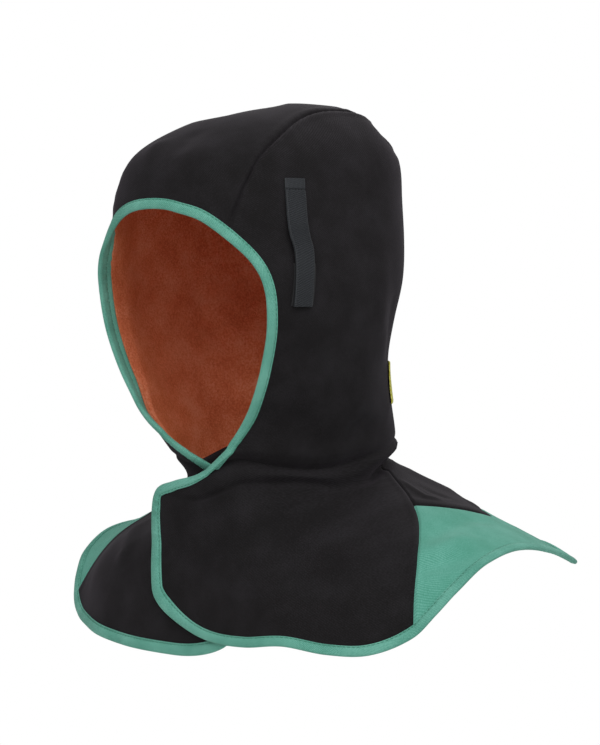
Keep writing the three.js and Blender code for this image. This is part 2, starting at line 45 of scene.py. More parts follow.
APEX_Z = 10.0
WIDEST = 0.58
TURN_Y = 30.0
RING_CENTRE = 110.0
RING_REACH = 220.0
CHIN_Y = -59.0
CHIN_Z = -247.0
CHIN_BLEND = 25.0
NECK_BLEND = 14.0
CHIN_LEFT = 2.945
CHIN_RIGHT = 3.2
NECK_TUCK = 1.5
NAPE_TUCK = 0.5
FLARE = 4.5
SLOPE_STEP = 0.4
LEFT_OVER = 6
# Height, distance from the seam and width of the groove and of the turnings beside it
CROWN_SEAM = [(-2.3, 0, 1.2), (0.9, 5, 3.6), (0.6, -4.5, 3.2)]
SHADE_STOPS = (0.38, 0.5, 0.62)


def table(names, *rows):
    """Columns of a table of sizes, by name."""
    return dict(zip(names.split(), np.array(rows, float).T))


HOOD = table(
    "z front back half square round",
    (10, 52, 52, 0, 2.2, 2.05),
    (4, 3, 93, 40, 2.2, 2.05),
    (-10, -45, 110, 63, 2.3, 2.05),
    (-31, -82, 119, 80, 2.4, 2.05),
    (-59, -98, 120, 86, 2.4, 2.05),
    (-87, -107, 119, 90, 2.3, 2.05),
    (-115, -121, 116, 92, 2.3, 2.05),
    (-145, -117, 109, 90, 2.3, 1.95),
    (-173, -104, 109, 84, 2.3, 1.85),
    (-200, -88, 118, 77, 2.2, 1.8),
    (-225, -67, 127, 70, 2.1, 1.85),
    (-245, -52, 126, 67, 2.0, 2.0),
    (-270, -49, 125, 67, 2.0, 2.0),
)
OPENING = table(
    "z y",
    (-245, -51), (-225, -56), (-200, -61), (-175, -65), (-145, -69),
    (-122, -73), (-105, -79.5), (-85, -92), (-62, -103),
)
NECK = table(
    "y z",
    (-59, -247), (-47, -237.6), (-38, -238.6), (-29, -241.2), (-10, -244.6),
    (8, -245.4), (45, -239), (95, -230), (130, -226),
)
# Where the bound edge of the face lies: on ring 0 but for the chin, where the left side wraps over the right
RIM = table(
    "psi t",
    (-3.2, 0.9), (-3.17, 0.46), (-3.143, 0.25), (-3.115, 0.08), (-3.09, -0.07), (-3.06, -0.19),
    (-3, -0.27), (-2.9, -0.26), (-2.8, -0.2), (-2.6, -0.08), (-2.4, -0.01), (-2.2, 0),
    (0.3, 0), (0.6, 0.01), (0.85, 0.016), (1.2, 0.016), (1.6, 0.018), (2, 0.022), (2.2, 0.026),
    (2.4, 0.032), (2.55, 0.04), (2.65, 0.053), (2.71, 0.065), (2.745, 0.083), (2.785, 0.135),
    (2.83, 0.27), (2.865, 0.48), (2.905, 0.69), (2.945, 0.92),
)
CROWN = table(
    "t half",
    (0, 54.5), (0.05, 56.5), (0.1, 59), (0.135, 59.5), (0.18, 56.5), (0.235, 48.8), (0.28, 45), (0.33, 43.5),
    (0.4, 43), (0.47, 41), (0.58, 35), (0.75, 30), (1, 26),
)


def smooth(start, end, value):
    """0 before start and 1 after end, with a soft step between."""
    t = np.clip((value - start) / (end - start), 0, 1)
    return t * t * (3 - 2 * t)


def smooth_deg(start, end, angle):
    """The same step for an angle in radians between two ends in degrees."""
    return smooth(np.radians(start), np.radians(end), angle)


def bump(value, centre, width):
    """A soft hump of height 1."""
    return np.exp(-(((value - centre) / width) ** 2))


def lerp(a, b, t):
    return a + (b - a) * t


def unit(vectors):
    return vectors / np.maximum(np.linalg.norm(vectors, axis=-1, keepdims=True), 1e-9)


def spline(xs, ys, x):
    """Smooth curve through the points xs, ys."""
    last = len(xs) - 1
    before = np.maximum(np.arange(last + 1) - 1, 0)
    after = np.minimum(np.arange(last + 1) + 1, last)
    slope = (ys[after] - ys[before]) / (xs[after] - xs[before])
    x = np.clip(x, xs[0], xs[-1])
    i = np.clip(np.searchsorted(xs, x) - 1, 0, last - 1)
    step = xs[i + 1] - xs[i]
    t = (x - xs[i]) / step
    rise = t * t * (3 - 2 * t)
    start = t * (1 - t) ** 2 * step * slope[i]
    end = t * t * (t - 1) * step * slope[i + 1]
    return lerp(ys[i], ys[i + 1], rise) + start + end


def fill(x, y, z):
    """How far a point is towards the hood's face at its own level: 1 on the face, less inside."""
    depth = np.sqrt(np.maximum(APEX_Z - z, 0))
    knots = np.sqrt(APEX_Z - HOOD["z"])
    front = spline(knots, HOOD["front"], depth)
    back = spline(knots, HOOD["back"], depth)
    half = np.maximum(spline(knots, HOOD["half"], depth), 1e-6)
    centre = lerp(front, back, WIDEST)
    ahead = y < centre
    power = np.where(ahead, spline(knots, HOOD["square"], depth), spline(knots, HOOD["round"], depth))
    reach = np.maximum(np.where(ahead, centre - front, back - centre), 1e-6)
    return (np.abs(x) / half) ** power + (np.abs(y - centre) / reach) ** power


def in_hood(x, y, z):
    return (fill(x, y, z) < 1) & (z < APEX_Z)


def hood_facing(points):
    """Unit normals of the hood's plain form."""
    slopes = []
    for step in np.eye(3) * SLOPE_STEP:
        ahead = fill(*np.moveaxis(points + step, -1, 0))
        behind = fill(*np.moveaxis(points - step, -1, 0))
        slopes.append(ahead - behind)
    return unit(np.stack(slopes, -1))


def bisect(inside, low, high):
    for _ in range(30):
        middle = (low + high) / 2
        test = inside(middle)
        low = np.where(test, middle, low)
        high = np.where(test, high, middle)
    return low


def neck_z(y):
    return spline(NECK["y"], NECK["z"], y)


def angle_to(r, blend, angle, on_line):
    """Angle at the chin to the point of a line at a distance r, found by closing in on it."""
    r = np.maximum(r, blend)
    angle = np.full(r.shape, angle)
    for _ in range(8):
        y, z = on_line(CHIN_Y + r * np.cos(angle), CHIN_Z + r * np.sin(angle))
        angle = np.arctan2(z - CHIN_Z, y - CHIN_Y)
    return angle


# The angles depend only on the distance from the chin, so they are worked out once.
reaches = np.linspace(-150, 360, 800)
opening_angles = angle_to(
    reaches, CHIN_BLEND, np.pi / 2, lambda y, z: (spline(OPENING["z"], OPENING["y"], z), z)
)
neck_angles = angle_to(reaches, NECK_BLEND, 0.0, lambda y, z: (y, neck_z(y)))


def hood(t, psi):
    """Hood point on ring t (0 face opening, 1 neck seam) at angle psi from the top, + to the left,
    with its ring radius and the length from opening to neck."""
    t, psi = np.broadcast_arrays(np.asarray(t, float), np.asarray(psi, float))

    def at(l):
        r = RING_CENTRE + l * np.cos(psi)
        start = np.interp(r, reaches, opening_angles)
        end = np.interp(r, reaches, neck_angles)
        angle = lerp(start, end, t)
        return l * np.sin(psi), CHIN_Y + r * np.cos(angle), CHIN_Z + r * np.sin(angle), r * (start - end)

    l = bisect(lambda v: in_hood(*at(v)[:3]), np.zeros(t.shape), np.full(t.shape, RING_REACH))
    x, y, z, length = at(l)
    return np.stack([x, y, z], -1), l, length


def rim_ring(psi):
    return spline(RIM["psi"], RIM["t"], psi)


crown_knots = np.linspace(0, 1, 60)
crown_angles = bisect(
    lambda psi: hood(crown_knots, psi)[0][..., 0] < spline(CROWN["t"], CROWN["half"], crown_knots),
    np.zeros(crown_knots.shape),
    np.full(crown_knots.shape, np.pi / 2),
)


def crown_angle(t):
    return np.interp(t, crown_knots, crown_angles)


def ridge(points, line, height, width):
    """Height of a soft fold along a line of points, fading at its ends."""
    best = np.full(points.shape[:-1], 1e9)
    along = np.zeros(points.shape[:-1])
    line = np.array(line, float)
    for k in range(len(line) - 1):
        span = line[k + 1] - line[k]
        t = np.clip(np.sum((points - line[k]) * span, -1) / np.sum(span * span), 0, 1)
        far = np.linalg.norm(points - line[k] - t[..., None] * span, axis=-1)
        closer = far < best
        best = np.where(closer, far, best)
        along = np.where(closer, (k + t) / (len(line) - 1), along)
    return height * bump(best, 0, width) * smooth(-0.05, 0.25, along) * smooth(1.05, 0.75, along)


def drift(points, size, seed):
    """Soft irregular swell of about 1 mm, from crossing waves of about the given size."""
    turn = np.random.default_rng(seed)
    total = np.zeros(points.shape[:-1])
    for _ in range(7):
        way = turn.normal(size=3)
        way /= np.linalg.norm(way)
        total += np.sin(points @ way * 2 * np.pi / (size * turn.uniform(0.7, 1.5)) + turn.uniform(0, 6.28))
    return total / 3.5


def lift(angle, s):
    """How far the left front lies out over the right one, and the left side panel with it."""
    over = smooth_deg(62, 32, angle) * (1 - 0.4 * smooth(0.6, 1, s))
    corner = smooth_deg(5, -25, angle) * smooth(0, 0.07, s) * (1 - smooth(0.14, 0.4, s))
    return LEFT_OVER * (over + corner)


HOOD_FOLDS = [
    # height, width and line of each soft fold
    (2.2, 8, [(-23, -62, -20), (-19, -75, -31), (-15, -84, -39), (-13, -93, -52)]),
    (-2.6, 18, [(-26, -30, -6), (-17, -2, 2), (-8, 20, 7), (4, 34, 9)]),
    (-4.2, 13, [(30, 62, 8), (37, 78, 3), (43, 86, -3), (52, 84, -11), (57, 84, -17), (61, 90, -30)]),
    (-1.4, 8, [(-1, -51, -13), (4, -68, -22), (6, -79, -29), (2, -92, -50)]),
    (1.8, 11, [(90, 34, -95), (90, 35, -130), (85, 39, -150), (72, 61, -173)]),
    (-1.6, 9, [(88, 58, -120), (82, 62, -150), (70, 78, -178)]),
    (1.8, 9, [(40, -58, -195), (51, -46, -216), (57, -20, -230)]),
    (-1.4, 8, [(60, -48, -190), (66, -25, -212), (67, 0, -224)]),
    (1.6, 10, [(75, 20, -200), (70, 50, -208), (58, 82, -206)]),
    (-1.5, 8, [(74, 25, -218), (68, 55, -222), (52, 90, -216)]),
    (1.7, 10, [(-90, 34, -100), (-88, 38, -140), (-74, 60, -176)]),
    (-1.5, 9, [(-62, -48, -186), (-68, -20, -210), (-66, 10, -224)]),
    (1.6, 10, [(-75, 22, -198), (-68, 55, -206), (-54, 86, -204)]),
    (-1.5, 8, [(-20, 116, -180), (10, 112, -186), (35, 104, -178)]),
    (1.4, 9, [(-34, 112, -198), (0, 117, -202), (34, 110, -198)]),
]


def hood_folds(points):
    folds = sum(ridge(points, line, height, width) for height, width, line in HOOD_FOLDS)
    return folds + 0.7 * drift(points, 70, 3)


def outwards(points):
    """Level unit vectors away from the neck's middle line, and their angles from the front."""
    angle = np.arctan2(points[..., 0], TURN_Y - points[..., 1])
    return np.stack([np.sin(angle), -np.cos(angle), np.zeros_like(angle)], -1), angle


def neck_tuck(angle):
    """How deep the neck seam is drawn in, less at the nape."""
    return lerp(NECK_TUCK, NAPE_TUCK, smooth_deg(85, 115, np.abs(angle)))


def flare(psi, to_face):
    """Dip behind the bound edge on the right, which makes the edge stand out a little."""
    beside = smooth(-0.5, -0.95, psi) * smooth(-2.65, -2.2, psi)
    return beside * smooth(0, 11, to_face) * smooth(55, 14, to_face)


def seam_height(distance, profile):
    return sum(height * bump(distance, centre, width) for height, centre, width in profile)


def hood_cloth(t, psi, seams=1):
    """Points on the hood's outer face, with its seams and folds, and the normals of its plain form."""
    points, ring, length = hood(t, psi)
    away, angle = outwards(points)
    to_neck = (1 - t) * length
    to_face = (t - rim_ring(psi)) * length
    to_seam = (np.abs(psi) - crown_angle(t)) * ring
    facing = unit(lerp(hood_facing(points), away, smooth(14, 3, to_neck)[..., None]))
    rise = lift(angle, 0) * smooth(-205, -240, points[..., 2]) * (psi > 0)
    groove = seam_height(to_seam, CROWN_SEAM)
    pucker = 0.2 * bump(to_seam, 0, 7) * np.sin(to_face * 2 * np.pi / 9 + 2 * np.sin(t * 9))
    under_left = (psi < 0) * smooth_deg(-75, -45, angle)
    at_nape = smooth_deg(95, 125, np.abs(angle))
    overhang = 1.9 * bump(to_neck, 9, 6.5) * (1 - under_left) * (1 - at_nape)
    calm = smooth(4, 30, to_face)
    relief = seams * (groove + pucker) * smooth(4, 16, to_face) + overhang + calm * hood_folds(points)
    relief = relief * smooth(0, 4, to_neck) - FLARE * flare(psi, to_face)
    relief = relief - neck_tuck(angle) * bump(to_neck, 0, 2.5)
    return points + away * rise[..., None] + facing * relief[..., None], facing


def linear(code):
    """sRGB hex colour as linear RGBA."""
    parts = [int(code[k:k + 2], 16) / 255 for k in (1, 3, 5)]
    return [p / 12.92 if p <= 0.04045 else ((p + 0.055) / 1.055) ** 2.4 for p in parts] + [1]


def add(tree, kind, settings=None, **inputs):
    """A node of that kind with its settings, and its inputs as values or as links. A node as an input stands
    for its first output."""
    node = tree.nodes.new(kind)
    for key, value in (settings or {}).items():
        setattr(node, key, value)
    for key, value in inputs.items():
        by_index = key[0] == "i" and key[1:].isdigit()
        socket = node.inputs[int(key[1:]) if by_index else key.replace("_", " ")]
        if isinstance(value, bpy.types.Node):
            value = value.outputs[0]
        if isinstance(value, bpy.types.NodeSocket):
            tree.links.new(value, socket)
        else:
            socket.default_value = value
    return node


def blank_material(name):
    material = bpy.data.materials.new(name)
    material.use_nodes = True
    material.node_tree.nodes.clear()
    return material, material.node_tree


def in_mm(tree, turn=0):
    """Place on the cloth by its UV map, in millimetres and turned."""
    uv = add(tree, "ShaderNodeUVMap", {"uv_map": "cloth"})
    place = add(tree, "ShaderNodeMapping", Vector=uv, Scale=(1000, 1000, 1000), Rotation=(0, 0, turn))
    return place


def finish_material(material, colours, shade, height, strength, depth, **look):
    """A matt surface between three shades, dark to light, with relief of a depth in metres."""
    tree = material.node_tree
    ramp = add(tree, "ShaderNodeValToRGB", Fac=shade)
    stops = ramp.color_ramp.elements
    stops.new(0.5)
    for stop, place, colour in zip(stops, SHADE_STOPS, colours):
        stop.position = place
        stop.color = linear(colour)
    relief = add(tree, "ShaderNodeBump", Height=height, Strength=strength, Distance=depth)
    shader = add(tree, "ShaderNodeBsdfPrincipled", Base_Color=ramp, IOR=1.5,
                 Normal=relief, **look)
    add(tree, "ShaderNodeOutputMaterial", Surface=shader)
    return material


# The wave texture's scale for one wave per millimetre
MM_WAVE = 2 * np.pi / 20


def twill(name, *colours, sheen):
    """Brushed cotton twill: fine diagonal ribs, a short nap that greys at the edges, and uneven dye.
    Real ribs are 0.6 mm apart; they are drawn at 1 mm so that they show."""
    material, tree = blank_material(name)
    place = in_mm(tree, 1.05)
    wave = add(tree, "ShaderNodeTexWave", {"wave_profile": "SIN"}, Vector=place, Scale=MM_WAVE,
               Distortion=1.2, Detail=1.0, Detail_Scale=2.0)
    nap = add(tree, "ShaderNodeTexNoise", Vector=place, Scale=1 / 0.9, Detail=3.0)
    patch = add(tree, "ShaderNodeTexNoise", Vector=place, Scale=1 / 26, Detail=4.0, Roughness=0.6)
    weave = add(tree, "ShaderNodeMix", {"data_type": "FLOAT"}, Factor=0.72, i2=wave.outputs["Fac"],
                i3=nap.outputs["Fac"])
    uneven = add(tree, "ShaderNodeMix", {"data_type": "FLOAT"}, Factor=0.45, i2=weave,
                 i3=patch.outputs["Fac"])
    return finish_material(material, colours, uneven, weave, 0.45, 0.0003, Roughness=0.88, Sheen_Weight=0.12,
                           Sheen_Roughness=0.5, Sheen_Tint=linear(sheen), Specular_IOR_Level=0.25)


black_twill = twill("black_cotton_twill", "#0d0b0c", "#151314", "#232124", sheen="#a99aac")


def link(name, mesh):
    piece = bpy.data.objects.new(name, mesh)
    bpy.context.collection.objects.link(piece)
    return piece


def build_mesh(name, points, faces, material, uv):
    """A mesh object of points in millimetres, with a UV map in metres of cloth."""
    mesh = bpy.data.meshes.new(name)
    mesh.from_pydata((points * MM).tolist(), [], faces)
    mesh.polygons.foreach_set("use_smooth", np.ones(len(faces), bool))
    layer = mesh.uv_layers.new(name="cloth")
    corners = np.empty(len(mesh.loops), np.int32)
    mesh.loops.foreach_get("vertex_index", corners)
    layer.data.foreach_set("uv", (uv[corners] * MM).ravel())
    mesh.materials.append(material)
    return link(name, mesh)


def cloth_uv(grid):
    """Lengths along and across a grid of points, from its middle."""
    across = np.linalg.norm(np.diff(grid, axis=1), axis=-1).cumsum(1)
    down = np.linalg.norm(np.diff(grid, axis=0), axis=-1).cumsum(0)
    u = np.pad(across, ((0, 0), (1, 0)))
    v = np.pad(down, ((1, 0), (0, 0)))
    middle = grid.shape[1] // 2
    return np.stack([u - u[:, middle:middle + 1], v], -1)


def cloth_sheet(name, grid, facing, thick, material, seen=None):
    """A closed sheet of cloth under a grid of points, which is its outer face. Its weave follows the grid's
    lengths, or lies straight in the two axes that it is seen in."""
    turned = np.cross(np.gradient(grid, axis=0), np.gradient(grid, axis=1))
    if np.sum(turned * facing) < 0:
        grid = grid[:, ::-1]
        facing = facing[:, ::-1]
    rows, cols = grid.shape[:2]
    count = rows * cols
    points = np.concatenate([grid.reshape(-1, 3), (grid - facing * thick).reshape(-1, 3)])
    ids = np.arange(count).reshape(rows, cols)
    outer = np.stack([ids[:-1, :-1], ids[1:, :-1], ids[1:, 1:], ids[:-1, 1:]], -1).reshape(-1, 4)
    rim = np.concatenate([ids[:-1, 0], ids[-1, :-1], ids[:0:-1, -1], ids[0, :0:-1]])
    after = np.roll(rim, -1)
    walls = np.stack([after, rim, rim + count, after + count], -1)
    uv = (grid[..., seen] if seen else cloth_uv(grid)).reshape(-1, 2)
    faces = np.concatenate([outer, outer[:, ::-1] + count, walls]).tolist()
    piece = build_mesh(name, points, faces, material, np.concatenate([uv, uv]))
    edges = piece.data.edges
    keys = np.empty(len(edges) * 2, np.int32)
    edges.foreach_get("vertices", keys)
    on_rim = np.zeros(count * 2, bool)
    on_rim[rim] = True
    on_rim[rim + count] = True
    pair = keys.reshape(-1, 2)
    same_face = (pair[:, 0] < count) == (pair[:, 1] < count)
    edges.foreach_set("use_edge_sharp", on_rim[pair].all(1) & same_face)
    return piece


def finish_cloth(piece, node, slot, flat, held, area=None, rests_on=(), stitches=()):
    """Hides the solid that a sheet of cloth stands for and sets the sheet and its stitches on the root body.
    Its cut size is not used.
    """
    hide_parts(node)
    for part in (piece, *stitches):
        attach(part, "root")


# All three panels come from one grid, so that they meet along the seams. It is finer at the seams and edges.
SIDE_COLUMNS = 150
CROWN_COLUMNS = 81
even = np.linspace(0, 1, 170)[:, None]
rings = lerp(even, 0.5 - 0.5 * np.cos(np.pi * even), 0.5)
crown_even = np.linspace(-1, 1, CROWN_COLUMNS)[None, :]
crown_span = lerp(crown_even, np.sin(crown_even * np.pi / 2), 0.6)
side_span = np.linspace(0, 1, SIDE_COLUMNS)[None, :] ** 1.4
seam_psi = crown_angle(rings)
left_psi = lerp(seam_psi, CHIN_LEFT, side_span)
right_psi = -lerp(seam_psi, CHIN_RIGHT, side_span)[:, ::-1]
skin_psi = np.concatenate([right_psi[:, :-1], crown_span * seam_psi, left_psi[:, 1:]], 1)
skin, skin_facing = hood_cloth(lerp(rim_ring(skin_psi), 1, rings), skin_psi)
side_size = ((0.28, 0.3), "draped", 0.052)
right_seam = SIDE_COLUMNS - 1
left_seam = right_seam + CROWN_COLUMNS - 1
for name, first, last, size, seen in (
    ("side_panel_right", 0, right_seam, side_size, [1, 2]),
    ("crown_panel", right_seam, left_seam, ((0.13, 0.48), "stretched", 0.039), None),
    ("side_panel_left", left_seam, skin.shape[1] - 1, side_size, [1, 2]),
):
    part = (slice(None), slice(first, last + 1))
    panel = cloth_sheet(f"{name}_cloth", skin[part], skin_facing[part], SHELL, black_twill, seen)
    finish_cloth(panel, name, "black_cloth", *size)

# Hood lining
# Orange flame-resistant cotton fleece, one layer inside all three panels.
# It is caught under the binding at the face and in the neck seam.
LINING = 1.3
LAYER_GAP = 0.4
LOOSE_GAP = 2.2
LINING_INSET = 7.4


def fleece(name, *colours):
    """Cotton fleece: a short tangled pile in clumps of about 1.6 mm, with no gloss and a soft bright edge."""
    material, tree = blank_material(name)
    place = add(tree, "ShaderNodeTexCoord").outputs["Object"]
    clump = add(tree, "ShaderNodeTexNoise", Vector=place, Scale=1 / 0.0016, Detail=4.0, Roughness=0.7)
    worn = add(tree, "ShaderNodeTexNoise", Vector=place, Scale=1 / 0.02, Detail=3.0)
    pile = add(tree, "ShaderNodeTexVoronoi", Vector=place, Scale=1 / 0.0011)
    mix = add(tree, "ShaderNodeMix", {"data_type": "FLOAT"}, Factor=0.35, i2=clump.outputs["Fac"],
              i3=worn.outputs["Fac"])
    height = add(tree, "ShaderNodeMix", {"data_type": "FLOAT"}, Factor=0.5, i2=clump.outputs["Fac"],
                 i3=pile.outputs["Distance"])
    return finish_material(material, colours, mix, height, 0.7, 0.0007, Roughness=0.95, Sheen_Weight=0.3,
                           Sheen_Roughness=0.6, Sheen_Tint=linear("#ff9a5c"), Specular_IOR_Level=0.1)


orange_fleece = fleece("orange_cotton_fleece", "#ba5c3a", "#d1714d", "#df8d6c")
lining_psi = np.linspace(-CHIN_RIGHT + 0.05, CHIN_LEFT - 0.05, 330)[None, :]
lining_rim = rim_ring(lining_psi)
lining_start = np.minimum(lining_rim + LINING_INSET / hood(lining_rim, lining_psi)[2], 0.95)
lining_share = np.linspace(0, 1, 130)[:, None]
lining_rings = lerp(lining_start, 0.995, lining_share)
lining_skin, lining_facing = hood_cloth(lining_rings, lining_psi + 0 * lining_rings, 0)
lining_gap = LAYER_GAP + LOOSE_GAP * smooth(0, 0.08, lining_share) * smooth(1, 0.96, lining_share)
lining_grid = lining_skin - lining_facing * (SHELL + lining_gap)[..., None]
hood_lining = cloth_sheet("hood_lining_fleece", lining_grid, lining_facing, LINING, orange_fleece)
finish_cloth(hood_lining, "hood_lining", "orange_fleece", (0.62, 0.36), "draped", 0.135,
             ["crown_panel_cloth"])

# Cape panels
# Two overlapping black fronts, a black yoke over the nape and a green panel across the shoulders,
# all of the same twill. They are sewn together and on to the hood's neck edge, and hang free.
STAND_OUT = 3.0
NAPE_STAND = -2.5
STAND_DROP = 17.0
RIGHT_TUCK = 13.0
CAPE_KNOTS = np.array([0, 0.12, 0.5, 1])
CAPE = table(
    "deg mid_r mid_z hem_r hem_z right_drop right_out",
    (0, 90, -309, 100, -356, 13.5, 1),
    (30, 103, -313, 116, -356.5, 11.5, 0),
    (42, 112, -314, 129, -353.5, 12, -1),
    (54, 121, -313, 141, -358, 5, -2),
    (64, 127, -309, 151, -358, 2, 1),
    (74, 131, -304, 160, -347.5, 3.5, 8),
    (79, 131, -299, 165, -333.5, 4.5, 11),
    (84, 131, -294, 169, -320, 3, 13),
    (93, 131, -287, 174, -303.5, 5, 11),
    (106, 133, -281, 180, -297, 6, 7),
    (123, 140, -279, 195.5, -305, 3, 2),
    (138, 146, -280.5, 216, -320, 0, 0),
    (150, 145, -278, 208, -313, 0, 0),
    (165, 140, -279, 198, -317, 0, 0),
    (180, 136, -281, 192, -324, 0, 0),
)
RAGLAN = table(
    "s deg",
    (0, 140), (0.14, 127), (0.24, 115), (0.32, 105), (0.4, 96), (0.48, 88.5), (0.57, 83), (0.74, 77.8),
    (1, 74.2),
)
YOKE = table(
    "deg s",
    (104, 0.305), (110, 0.357), (117, 0.44), (126, 0.535), (145, 0.582), (165, 0.603), (180, 0.606),
)
LEFT_EDGE = table(
    "s deg",
    (0, 14.5), (0.03, 8), (0.056, 2.5), (0.083, -6), (0.106, -10.7), (0.128, -14.8), (0.15, -17.6),
    (0.18, -19.4), (0.21, -20.2), (0.265, -20.6), (0.33, -20.2), (0.42, -18.6), (0.54, -16.9), (0.76, -13.4),
    (1, -9.5),
)
RIGHT_EDGE = table(
    "s deg",
    (0, -4), (0.011, -6.3), (0.032, -9.4), (0.061, -13), (0.1, -19), (0.15, -25), (0.21, -28.5), (0.3, -30),
    (0.42, -29), (0.54, -27.5), (0.76, -24.5), (1, -21),
)
# Where each front's lower corner starts and how many degrees it turns through
CORNER_LEFT = (0.66, 33)
CORNER_RIGHT = (0.87, 26)
RAGLAN_SEAM = [(-1.4, 0, 1.4), (0.7, -5.5, 4)]
YOKE_SEAM = [(-1.3, 0, 1.4), (0.5, -6, 4)]
CAPE_LENGTH = 130
# Crease under the roll of cloth below the neck seam
ROLL = table(
    "deg s",
    (0, 0.155), (6, 0.15), (20, 0.118), (28, 0.1), (39, 0.075), (53, 0.063), (67, 0.07), (80, 0.1),
    (96, 0.11), (120, 0.1), (180, 0.1),
)
CAPE_FOLDS = [
    # height, width and line of each soft fold
    (2.6, 9, [(-98, -8, -292), (-86, -31, -299), (-78, -46, -304), (-75, -57, -319)]),
    (-3.2, 22, [(-100, -4, -290), (-113, 8, -289), (-135, 33, -288), (-150, 36, -294), (-170, 48, -300)]),
    (2.2, 13, [(44, 108, -247), (55, 120, -256), (69, 131, -265), (82, 139, -272)]),
    (-3.0, 15, [(82, 138, -273), (90, 146, -279), (96, 160, -287), (108, 175, -299)]),
    (1.7, 4, [(70, 80, -253), (82, 78, -261), (95, 77, -267), (104, 90, -271)]),
    (-1.6, 5, [(76, 92, -254), (90, 94, -263), (100, 104, -270)]),
    (-2.6, 9, [(132, 19, -295), (131, 49, -286), (129, 80, -282), (130, 109, -284)]),
    (2.0, 9, [(139, 14, -301), (145, 28, -295), (147, 43, -291), (151, 62, -288)]),
    (-2.2, 8, [(168, 44, -297), (160, 31, -300), (153, 21, -302), (146, 11, -305), (140, 3, -309)]),
    (-1.6, 12, [(60, -40, -270), (80, -48, -310), (96, -56, -350)]),
    (1.8, 14, [(85, -20, -275), (104, -24, -310), (120, -28, -345)]),
    (-1.6, 12, [(-60, 110, -268), (-85, 140, -285), (-105, 165, -305)]),
    (1.6, 12, [(-30, 150, -270), (-45, 175, -290), (-55, 195, -310)]),
    (-1.6, 12, [(10, 152, -268), (14, 180, -290), (18, 205, -315)]),
    (1.6, 12, [(50, 142, -268), (70, 165, -288), (85, 190, -312)]),
    (1.8, 12, [(-110, 40, -275), (-135, 35, -288), (-165, 28, -305)]),
    (-1.8, 12, [(-90, 0, -280), (-110, -15, -315), (-128, -25, -350)]),
]
neck_turns = np.linspace(-np.pi, np.pi, 721)


def at_neck(r, angle):
    y = TURN_Y - r * np.cos(angle)
    return r * np.sin(angle), y, neck_z(y)


neck_radii = bisect(
    lambda r: in_hood(*at_neck(r, neck_turns)),
    np.zeros(neck_turns.shape),
    np.full(neck_turns.shape, RING_REACH),
)


def cape_column(name, degrees):
    deg = np.concatenate([[-CAPE["deg"][1]], CAPE["deg"], [360 - CAPE["deg"][-2]]])
    values = np.concatenate([[CAPE[name][1]], CAPE[name], [CAPE[name][-2]]])
    return spline(deg, values, degrees)


def through_knots(values, s):
    """Smooth curve through the cape's values at the neck seam, stand, middle and hem."""
    before = [0, 0, 1, 2]
    after = [1, 2, 3, 3]
    slopes = [(values[b] - values[a]) / (CAPE_KNOTS[b] - CAPE_KNOTS[a]) for a, b in zip(before, after)]
    total = np.zeros(np.broadcast(values[0], s).shape)
    for k in range(3):
        step = CAPE_KNOTS[k + 1] - CAPE_KNOTS[k]
        t = (s - CAPE_KNOTS[k]) / step
        curve = lerp(values[k], values[k + 1], t * t * (3 - 2 * t))
        curve = curve + t * (1 - t) ** 2 * step * slopes[k] + t * t * (t - 1) * step * slopes[k + 1]
        inside = (s > CAPE_KNOTS[k]) | (k == 0)
        total = np.where(inside, curve, total)
    return total


def cape(angle, s, side):
    """Cape point at an angle from the front, + to the left, and a share of the way from neck to hem."""
    turn = np.arctan2(np.sin(angle), np.cos(angle))
    degrees = np.degrees(np.abs(turn))
    right = np.where(side < 0, 1.0, 0.0)
    neck_r = np.interp(turn, neck_turns, neck_radii)
    top = at_neck(neck_r, turn)[2]
    tucked = right * RIGHT_TUCK * smooth(85, 45, degrees)
    stand = lerp(STAND_OUT, NAPE_STAND, smooth(95, 125, degrees))
    radii = [
        neck_r, neck_r + stand - tucked, cape_column("mid_r", degrees),
        cape_column("hem_r", degrees) + right * cape_column("right_out", degrees),
    ]
    heights = [
        top, top - STAND_DROP, cape_column("mid_z", degrees),
        cape_column("hem_z", degrees) - right * cape_column("right_drop", degrees),
    ]
    out = through_knots(radii, s) + np.where((side > 0) & (degrees < 120), lift(turn, s), 0)
    return np.stack([out * np.sin(turn), TURN_Y - out * np.cos(turn), through_knots(heights, s)], -1)


def raglan(s):
    return np.radians(spline(RAGLAN["s"], RAGLAN["deg"], s))


def yoke_border(angle):
    return spline(YOKE["deg"], YOKE["s"], 180 - np.abs(180 - np.degrees(angle)))


def cape_slopes(angle, s, side):
    """Change of the cape's plain form per radian and per share, by small steps."""
    step = 1e-3
    round_it = (cape(angle + step, s, side) - cape(angle - step, s, side)) / (2 * step)
    down = cape(angle, np.minimum(s + step, 1), side) - cape(angle, np.maximum(s - step, 0), side)
    return round_it, down / (2 * step)


